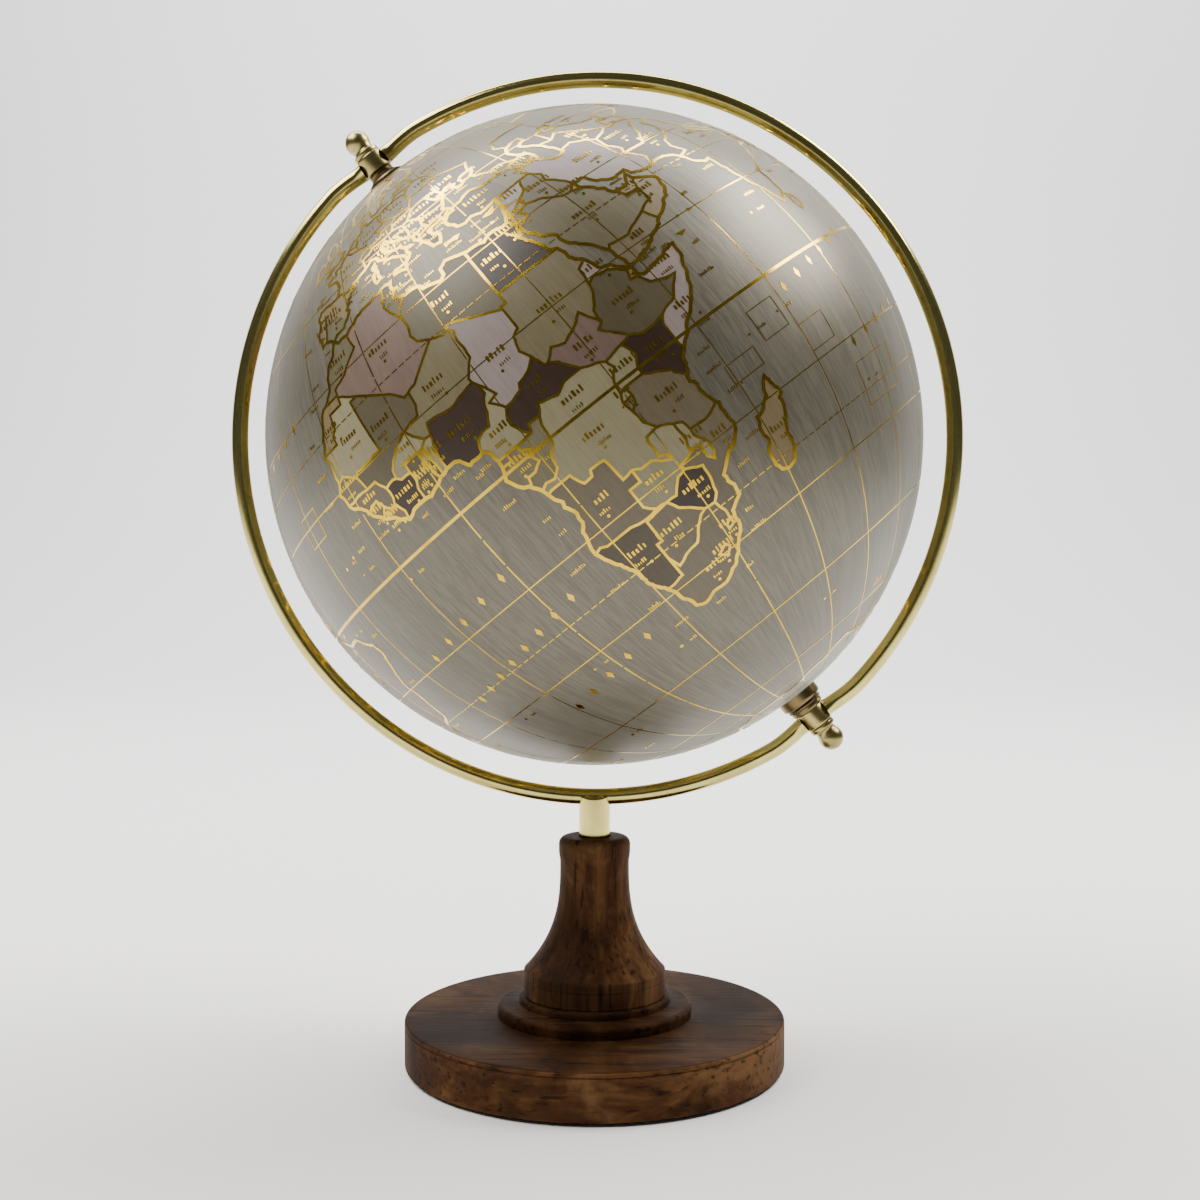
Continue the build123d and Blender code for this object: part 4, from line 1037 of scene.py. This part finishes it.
class Skin:
    """The ball's surface in triangles that follow the map's lines, and the region of each."""

    def __init__(self):
        self.points, self.index = [], {}
        self.faces, self.walls = [], set()
        lines = map_lines()
        crossings = {p[0] % 360 for line in lines for p in line if p[1] == 0}
        crossings |= {k * GRID_STEP for k in range(int(360 / GRID_STEP))}
        equator = sorted({round(c, 4) for c in crossings})
        for side in (1, -1):
            self.add_half(side, lines, equator)
        corners = np.array([tuple(p) for p in self.points])
        self.middles, self.fences = self.edge_planes(corners[np.array(self.faces)])
        self.beside = self.neighbours()
        self.regions = self.flood()
        self.inks = self.spread_inks()

    def vertex(self, lon, lat):
        p = unit(lon, lat)
        key = tuple(round(c, 5) for c in p)
        if key not in self.index:
            self.index[key] = len(self.points)
            self.points.append(p)
        return self.index[key]

    def add_half(self, side, lines, equator):
        """Triangulates one half along its lines."""
        spots, edges, drawn = [], [], []
        for points, on_map, closed in half_chains(side, lines, equator):
            first, count = len(spots), len(points)
            spots.extend(flat(*p, side) for p in points)
            for k in range(count if closed else count - 1):
                edges.append((first + k, first + (k + 1) % count))
                drawn.append(on_map)
        spots += filler(side, spots)
        out, out_edges, triangles, _, from_edges, _ = delaunay_2d_cdt(spots, edges, [], 0, 1e-7, True)
        ids = [self.vertex(*unflat(v, side)) for v in out]
        for (a, b), sources in zip(out_edges, from_edges):
            if any(drawn[s] for s in sources if s < len(drawn)):
                self.walls.add(tuple(sorted((ids[a], ids[b]))))
        for triangle in triangles:
            a, b, c = (ids[i] for i in triangle)
            middle = (self.points[a] + self.points[b] + self.points[c]) / 3
            lat = math.degrees(math.asin(middle.z / middle.length))
            if len({a, b, c}) < 3 or side * lat > POLE_HOLE_LAT:
                continue
            normal = (self.points[b] - self.points[a]).cross(self.points[c] - self.points[a])
            self.faces.append((a, b, c) if normal.dot(middle) > 0 else (a, c, b))

    def neighbours(self):
        """The faces on either side of each edge."""
        beside = {}
        for f, (a, b, c) in enumerate(self.faces):
            for edge in ((a, b), (b, c), (c, a)):
                beside.setdefault(tuple(sorted(edge)), []).append(f)
        return beside

    def open_sides(self, f):
        """The faces that touch a face with no wall between."""
        a, b, c = self.faces[f]
        for edge in ((a, b), (b, c), (c, a)):
            key = tuple(sorted(edge))
            if key not in self.walls:
                yield from (g for g in self.beside[key] if g != f)

    def flood(self):
        """Numbers the regions that the walls part."""
        region = [-1] * len(self.faces)
        count = 0
        for start in range(len(self.faces)):
            if region[start] >= 0:
                continue
            region[start], stack = count, [start]
            while stack:
                for g in self.open_sides(stack.pop()):
                    if region[g] < 0:
                        region[g] = count
                        stack.append(g)
            count += 1
        return region

    @staticmethod
    def edge_planes(triangles):
        """The middle of each triangle, and the three planes that fence it in."""
        a, b, c = (triangles[:, k] for k in range(3))
        return a + b + c, (np.cross(a, b), np.cross(b, c), np.cross(c, a))

    def face_at(self, lon, lat):
        p = np.array(tuple(unit(lon, lat)))
        inside = np.min([fence @ p for fence in self.fences], axis=0)
        return int(np.argmax(np.where(self.middles @ p > 0, inside, -10.0)))

    def spread_inks(self):
        """Each face takes the ink of the nearest seed that no wall keeps from it.

        Islands without a seed take an ink by their number.
        """
        inks = [None] * len(self.faces)
        queue = []
        for number, text in enumerate(INKS.values()):
            for lon, lat in route(text):
                heapq.heappush(queue, (0.0, number, self.face_at(lon, lat)))
        while queue:
            way, number, f = heapq.heappop(queue)
            if inks[f] is not None:
                continue
            inks[f] = number
            for g in self.open_sides(f):
                if inks[g] is None:
                    step = float(np.linalg.norm(self.middles[f] - self.middles[g]))
                    heapq.heappush(queue, (way + step, number, g))
        spare = [INK_NAMES.index(name) for name in ("khaki", "sand", "taupe", "olive", "mauve")]
        return [spare[r % len(spare)] if ink is None else ink for r, ink in zip(self.regions, inks)]

    def lines(self):
        """The walls between unlike regions, as chains of points: (is it a coast, points)."""
        sea = INK_NAMES.index("sea")
        links = {}
        for wall in self.walls:
            faces = self.beside.get(wall, [])
            kinds = {(self.regions[f], self.inks[f]) for f in faces}
            if len(kinds) == 2:
                coast = (self.inks[faces[0]] == sea) != (self.inks[faces[1]] == sea)
                for a, b in (wall, wall[::-1]):
                    links.setdefault((a, coast), []).append(b)
        done, chains = set(), []

        def walk(a, b, coast):
            chain = [a, b]
            done.add((min(a, b), max(a, b), coast))
            while len(links[chain[-1], coast]) == 2:
                ahead = [n for n in links[chain[-1], coast] if n != chain[-2]]
                if not ahead:
                    break
                key = (min(chain[-1], ahead[0]), max(chain[-1], ahead[0]), coast)
                if key in done:
                    break
                done.add(key)
                chain.append(ahead[0])
            return chain

        for ends_first in (True, False):
            for (a, coast), others in sorted(links.items()):
                if ends_first and len(others) == 2:
                    continue
                for b in others:
                    if (min(a, b), max(a, b), coast) not in done:
                        chains.append((coast, [self.points[i] for i in walk(a, b, coast)]))
        return chains


def ball_half(skin, name, node, side, matrix):
    """One moulded half: the printed outside, the plain inside, and the rims that close them."""
    chosen = [f for f, tri in enumerate(skin.faces) if side * sum(skin.points[i].z for i in tri) > 0]
    used = sorted({i for f in chosen for i in skin.faces[f]})
    place = {i: k for k, i in enumerate(used)}
    count = len(used)
    inside_r = SKIN_R - SHELL_WALL
    verts = [tuple(skin.points[i] * r) for r in (SKIN_R, inside_r) for i in used]
    faces, inks = [], []
    open_edges = set()
    for f in chosen:
        a, b, c = (place[i] for i in skin.faces[f])
        faces.append((a, b, c))
        inks.append(skin.inks[f] + 1)
        faces.append((a + count, c + count, b + count))
        inks.append(0)
        for edge in ((a, b), (b, c), (c, a)):
            if edge[::-1] in open_edges:
                open_edges.remove(edge[::-1])
            else:
                open_edges.add(edge)
    for a, b in sorted(open_edges):
        faces.append((b, a, a + count, b + count))
        inks.append(0)
    made = piece(name, verts, faces, [PLASTIC] + INKS_ON_BALL, "globe", matrix, 40, inks)
    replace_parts(made, node)


class Foil:
    """Flat closed ribbons and dabs of foil that stand just proud of the skin."""

    def __init__(self):
        self.verts, self.faces, self.count = [], [], 0

    def lift(self, share):
        """Overlapping pieces stand at slightly different heights, so that none share a face."""
        self.count += 1
        return SKIN_R + FOIL_LIFT * (share + 0.02 * (self.count % 7))

    def ribbon(self, points, width_mm, share):
        top, bottom = self.lift(share), SKIN_R - FOIL_ROOT
        half = width_mm * MM / 2
        loop = len(points) > 3 and (points[0] - points[-1]).length < 1e-6
        first, count = len(self.verts), len(points)
        for i, p in enumerate(points):
            before = points[i - 1] if i else (points[-2] if loop else None)
            after = points[i + 1] if i + 1 < count else (points[1] if loop else None)
            sides = []
            for a, b in ((before, p), (p, after)):
                if a is not None and b is not None and (b - a).length > 1e-9:
                    sides.append(p.cross(b - a).normalized())
            side = sum(sides, Vector()).normalized() if sides else Vector((0, 0, 1))
            side *= half / max(0.6, side.dot(sides[0]) if sides else 1.0)
            for r, s in ((top, 1), (top, -1), (bottom, -1), (bottom, 1)):
                self.verts.append(tuple(p * r + side * s))
        for i in range(count - 1):
            a, b = first + 4 * i, first + 4 * (i + 1)
            for k in range(4):
                n = (k + 1) % 4
                self.faces.append((a + k, a + n, b + n, b + k))
        last = first + 4 * (count - 1)
        self.faces.append((first + 3, first + 2, first + 1, first))
        self.faces.append((last, last + 1, last + 2, last + 3))

    def dab(self, lon, lat, outline_mm):
        """A flat shape from an outline in millimetres: x to the east, y to the north."""
        p = unit(lon, lat)
        east = Vector((0, 0, 1)).cross(p).normalized()
        north = p.cross(east)
        top, bottom = self.lift(0.5), SKIN_R - FOIL_ROOT
        first, count = len(self.verts), len(outline_mm)
        for r in (top, bottom):
            for x, y in outline_mm:
                d = (p + (east * x + north * y) * MM / SKIN_R).normalized()
                self.verts.append(tuple(d * r))
        self.faces.append(tuple(first + k for k in range(count)))
        self.faces.append(tuple(first + count + k for k in range(count - 1, -1, -1)))
        for k in range(count):
            n = (k + 1) % count
            self.faces.append((first + n, first + k, first + count + k, first + count + n))

    def town(self, lon, lat, radius=0.45):
        turns = [2 * math.pi * k / 12 for k in range(12)]
        self.dab(lon, lat, [(radius * math.cos(t), radius * math.sin(t)) for t in turns])

    def strokes(self, lon, lat, count, height, chance):
        """A row of plain upright strokes that stands where a printed name would."""
        wide, gap = 0.34, 0.62  # of the height
        x = -0.5 * gap * height * (count - 1)
        for _ in range(count):
            tall = height * chance.choice((0.62, 0.7, 1.0, 0.66, 0.95))
            w = wide * height * chance.uniform(0.6, 1.25)
            box = [(x - w / 2, -height / 2), (x + w / 2, -height / 2)]
            box += [(x + w / 2, -height / 2 + tall), (x - w / 2, -height / 2 + tall)]
            self.dab(lon, lat, box)
            x += gap * height

    def make(self, name, matrix):
        piece(name, self.verts, self.faces, [FOIL], "globe", matrix, 30)


def meridian(lon, low, high, step=3.0):
    count = max(1, round((high - low) / step))
    return [unit(lon, low + (high - low) * k / count) for k in range(count + 1)]


def parallel(lat, start=0.0, end=360.0, step=3.0):
    count = max(1, round((end - start) / step))
    return [unit(start + (end - start) * k / count, lat) for k in range(count + 1)]


def graticule(matrix):
    """Meridians and parallels every 15 degrees, a bold equator, dashed tropics and polar circles."""
    thin, prime, bold, dashed = 0.32, 0.42, 0.85, 0.30  # widths in mm
    dash_pitch, dash_share = 2.7, 0.7  # mm from dash to dash, and how much of it is foil
    foil = Foil()
    for k in range(24):
        reach = 84 if k % 6 == 0 else 75
        foil.ribbon(meridian(15 * k, -reach, reach), thin if k else prime, 0.20)
    for lat in range(-75, 76, 15):
        if lat:
            foil.ribbon(parallel(lat), thin, 0.36)
    foil.ribbon(parallel(0), bold, 0.50)
    for lat in (-66.5, -23.5, 23.5, 66.5):
        pitch = dash_pitch / (BALL_R / MM * math.cos(math.radians(lat))) * 180 / math.pi
        count = round(360 / pitch)
        for k in range(count):
            start = 360 * k / count
            foil.ribbon(parallel(lat, start, start + dash_share * 360 / count, 1.5), dashed, 0.30)
    foil.make("foil_graticule", matrix)


def coasts_and_frontiers(skin, matrix):
    coasts, frontiers = Foil(), Foil()
    for is_coast, points in skin.lines():
        if is_coast:
            coasts.ribbon(points, 1.0, 0.72)
        else:
            frontiers.ribbon(points, 0.72, 0.56)
    coasts.make("foil_coasts", matrix)
    frontiers.make("foil_frontiers", matrix)


def country_marks(foil, chance):
    """Two rows of strokes and a dot at each seed, in place of a country's and a city's name."""
    for ink, text in INKS.items():
        if ink in ("sea", "ice"):
            continue
        for lon, lat in route(text):
            foil.strokes(lon, lat + 0.9, chance.randint(4, 7), 1.9, chance)
            foil.strokes(lon + chance.uniform(-1, 1), lat - 1.0, chance.randint(4, 6), 1.15, chance)
            foil.town(lon + chance.uniform(-1.5, 1.5), lat - 2.0)


def coast_marks(foil, skin, chance):
    """A row of strokes just off every third corner of the large coasts."""
    sea = INK_NAMES.index("sea")
    for name in ("africa", "eurasia", "south_america", "north_america", "australia"):
        corners = route(COASTS[name])
        for k in range(2, len(corners) - 2, 3):
            (x0, y0), (x1, y1), (x2, y2) = corners[k - 1 : k + 2]
            length = math.hypot(x2 - x0, y2 - y0) or 1.0
            out = (-(y2 - y0) / length, (x2 - x0) / length)
            lon = x1 + 3.6 * out[0] / max(0.4, math.cos(math.radians(y1)))
            lat = y1 + 1.8 * out[1]
            if skin.inks[skin.face_at(lon, lat)] == sea:
                foil.strokes(lon, lat, chance.randint(4, 8), 1.05, chance)


def sea_marks(foil, skin, chance):
    """Dots and strokes scattered over the open sea, for its small islands."""
    sea = INK_NAMES.index("sea")
    for _ in range(90):
        lon, lat = chance.uniform(-180, 180), math.degrees(math.asin(chance.uniform(-0.85, 0.85)))
        if skin.inks[skin.face_at(lon, lat)] == sea and skin.inks[skin.face_at(lon + 3, lat)] == sea:
            foil.town(lon - 1.6, lat, chance.uniform(0.35, 0.6))
            foil.strokes(lon + 1.2, lat, chance.randint(3, 6), 0.95, chance)


# where a spaced row of lozenges stands for an ocean's name: start, end, number
OCEAN_ROWS = (
    ((-24, -14), (-2, -11), 5),
    ((-26, -24), (4, -20), 8),
    ((-14, -36), (8, -33), 5),
    ((62, -3), (84, 0), 6),
    ((70, -16), (90, -14), 5),
    ((-48, 28), (-24, 30), 6),
    ((-170, 12), (-130, 12), 9),
    ((-160, -28), (-112, -28), 10),
    ((150, 28), (176, 28), 6),
)
# small framed insets beside island groups: west, south, east, north
INSETS = (
    (44.5, -10.5, 50.5, -7.5),
    (53.0, -8.0, 58.5, -3.0),
    (60.0, -13.5, 66.0, -9.0),
    (68.0, -26.0, 80.0, -19.0),
    (-32.0, 12.0, -26.0, 17.0),
    (166.0, -22.0, 172.0, -17.0),
)


def between(a, b, share):
    """A point part of the way from a to b."""
    return a[0] + (b[0] - a[0]) * share, a[1] + (b[1] - a[1]) * share


def ocean_rows(foil):
    lozenge = ((0.9, 0), (0, 1.7), (-0.9, 0), (0, -1.7))
    for start, end, count in OCEAN_ROWS:
        for k in range(count):
            foil.dab(*between(start, end, k / (count - 1)), lozenge)


def inset_frames(foil):
    for west, south, east, north in INSETS:
        corners = [(west, south), (east, south), (east, north), (west, north), (west, south)]
        edge = []
        for a, b in zip(corners, corners[1:]):
            edge += [unit(*between(a, b, k / 4)) for k in range(4)]
        foil.ribbon(edge + [edge[0]], 0.24, 0.40)


def marks(skin, matrix):
    """Dots, strokes, lozenges and frames, in place of everything that is lettered on the real one."""
    foil = Foil()
    chance = random.Random(8)
    country_marks(foil, chance)
    coast_marks(foil, skin, chance)
    sea_marks(foil, skin, chance)
    ocean_rows(foil)
    inset_frames(foil)
    foil.make("foil_marks", matrix)


def make_ball():
    skin = Skin()
    matrix = tilted()
    ball_half(skin, "north_ball_half", "north_shell", 1, matrix)
    ball_half(skin, "south_ball_half", "south_shell", -1, matrix)
    graticule(matrix)
    coasts_and_frontiers(skin, matrix)
    marks(skin, matrix)


# ---- stage --------------------------------------------------------------------------------------
WARM_WHITE = (1.0, 0.955, 0.89)


def make_camera():
    data = bpy.data.cameras.new("photo_camera")
    data.lens = CAMERA_LENS
    data.sensor_width = CAMERA_SENSOR
    camera = bpy.data.objects.new("photo_camera", data)
    bpy.context.scene.collection.objects.link(camera)
    a, e = math.radians(CAMERA_AZIMUTH), math.radians(CAMERA_ELEVATION)
    back = Vector((math.sin(a) * math.cos(e), -math.cos(a) * math.cos(e), math.sin(e)))
    look = math.radians(CAMERA_AZIMUTH - CAMERA_YAW)
    tip = math.radians(CAMERA_PITCH)
    ahead = Vector((-math.sin(look) * math.cos(tip), math.cos(look) * math.cos(tip), -math.sin(tip)))
    right = Vector((math.cos(look), math.sin(look), 0))
    camera.matrix_world = Matrix.Translation(CENTRE + back * CAMERA_DISTANCE) @ (
        Matrix((right, right.cross(ahead), -ahead)).transposed().to_4x4()
    )
    bpy.context.scene.camera = camera


def sweep_stage():
    """A plain sheet that runs along the floor and curves up behind the object."""
    front, half_width, height = -5.0, 7.0, 6.0
    bend_at, radius = 1.3, 0.9
    line = [(front, 0.0), (0.0, 0.0), (bend_at, 0.0)]
    for k in range(1, 25):
        a = math.pi / 2 * k / 24
        line.append((bend_at + radius * math.sin(a), radius - radius * math.cos(a)))
    line.append((bend_at + radius, height))
    verts = [(x, y, z) for y, z in line for x in (-half_width, half_width)]
    faces = [(2 * k, 2 * k + 1, 2 * k + 3, 2 * k + 2) for k in range(len(line) - 1)]
    mesh = bpy.data.meshes.new("studio_sweep")
    mesh.from_pydata(verts, [], faces)
    mesh.polygons.foreach_set("use_smooth", [True] * len(faces))
    paper = Nodes("pale_paper", Base_Color=(0.92, 0.92, 0.92, 1.0), Roughness=0.9)
    mesh.materials.append(paper.material)
    made = bpy.data.objects.new("studio_sweep", mesh)
    bpy.context.scene.collection.objects.link(made)


def softbox(name, spot, aim, size, watts, colour=(1, 1, 1)):
    data = bpy.data.lights.new(name, "AREA")
    data.shape = "RECTANGLE"
    data.size, data.size_y = size
    data.energy = watts
    data.color = colour
    lamp = bpy.data.objects.new(name, data)
    bpy.context.scene.collection.objects.link(lamp)
    lamp.location = spot
    lamp.rotation_euler = (Vector(aim) - Vector(spot)).to_track_quat("-Z", "Y").to_euler()


def make_stage():
    """Soft light from above, left and right, and a wash on the sweep. The front stays dim."""
    sweep_stage()
    world = bpy.data.worlds.new("studio")
    world.use_nodes = True
    world.node_tree.nodes["Background"].inputs["Color"].default_value = (0.55, 0.56, 0.58, 1)
    world.node_tree.nodes["Background"].inputs["Strength"].default_value = 0.14
    bpy.context.scene.world = world
    softbox("key", (-0.78, -0.16, 1.18), (0, 0, 0.2), (1.15, 0.65), 23, WARM_WHITE)
    softbox("second", (0.76, 0.18, 1.08), (0, 0, 0.2), (0.6, 0.55), 17, WARM_WHITE)
    softbox("back_wash", (0, 0.7, 1.9), (0, 1.9, 0.3), (2.4, 0.8), 85)


# ---- assembly -----------------------------------------------------------------------------------
make_camera()
make_stage()
base_disc()
spindle()
felt_pad()
ring_stem()
half_hoop("east_half_hoop", "ring_half_east", 1)
half_hoop("west_half_hoop", "ring_half_west", -1)
axle_end("north", tilted(), collar_r=4.1, washer_r=4.7)
axle_end("south", south_up(tilted()), collar_r=5.5, washer_r=6.0)
make_ball()
for node in ("tie_rod", "base_nut", "base_washer", "axle"):
    for slot in frame["nodes"][node].material_slots:
        slot.material = STEEL
for node in ("equator_joiner", "north_pole_bush", "south_pole_bush"):
    for slot in frame["nodes"][node].material_slots:
        slot.material = PLASTIC
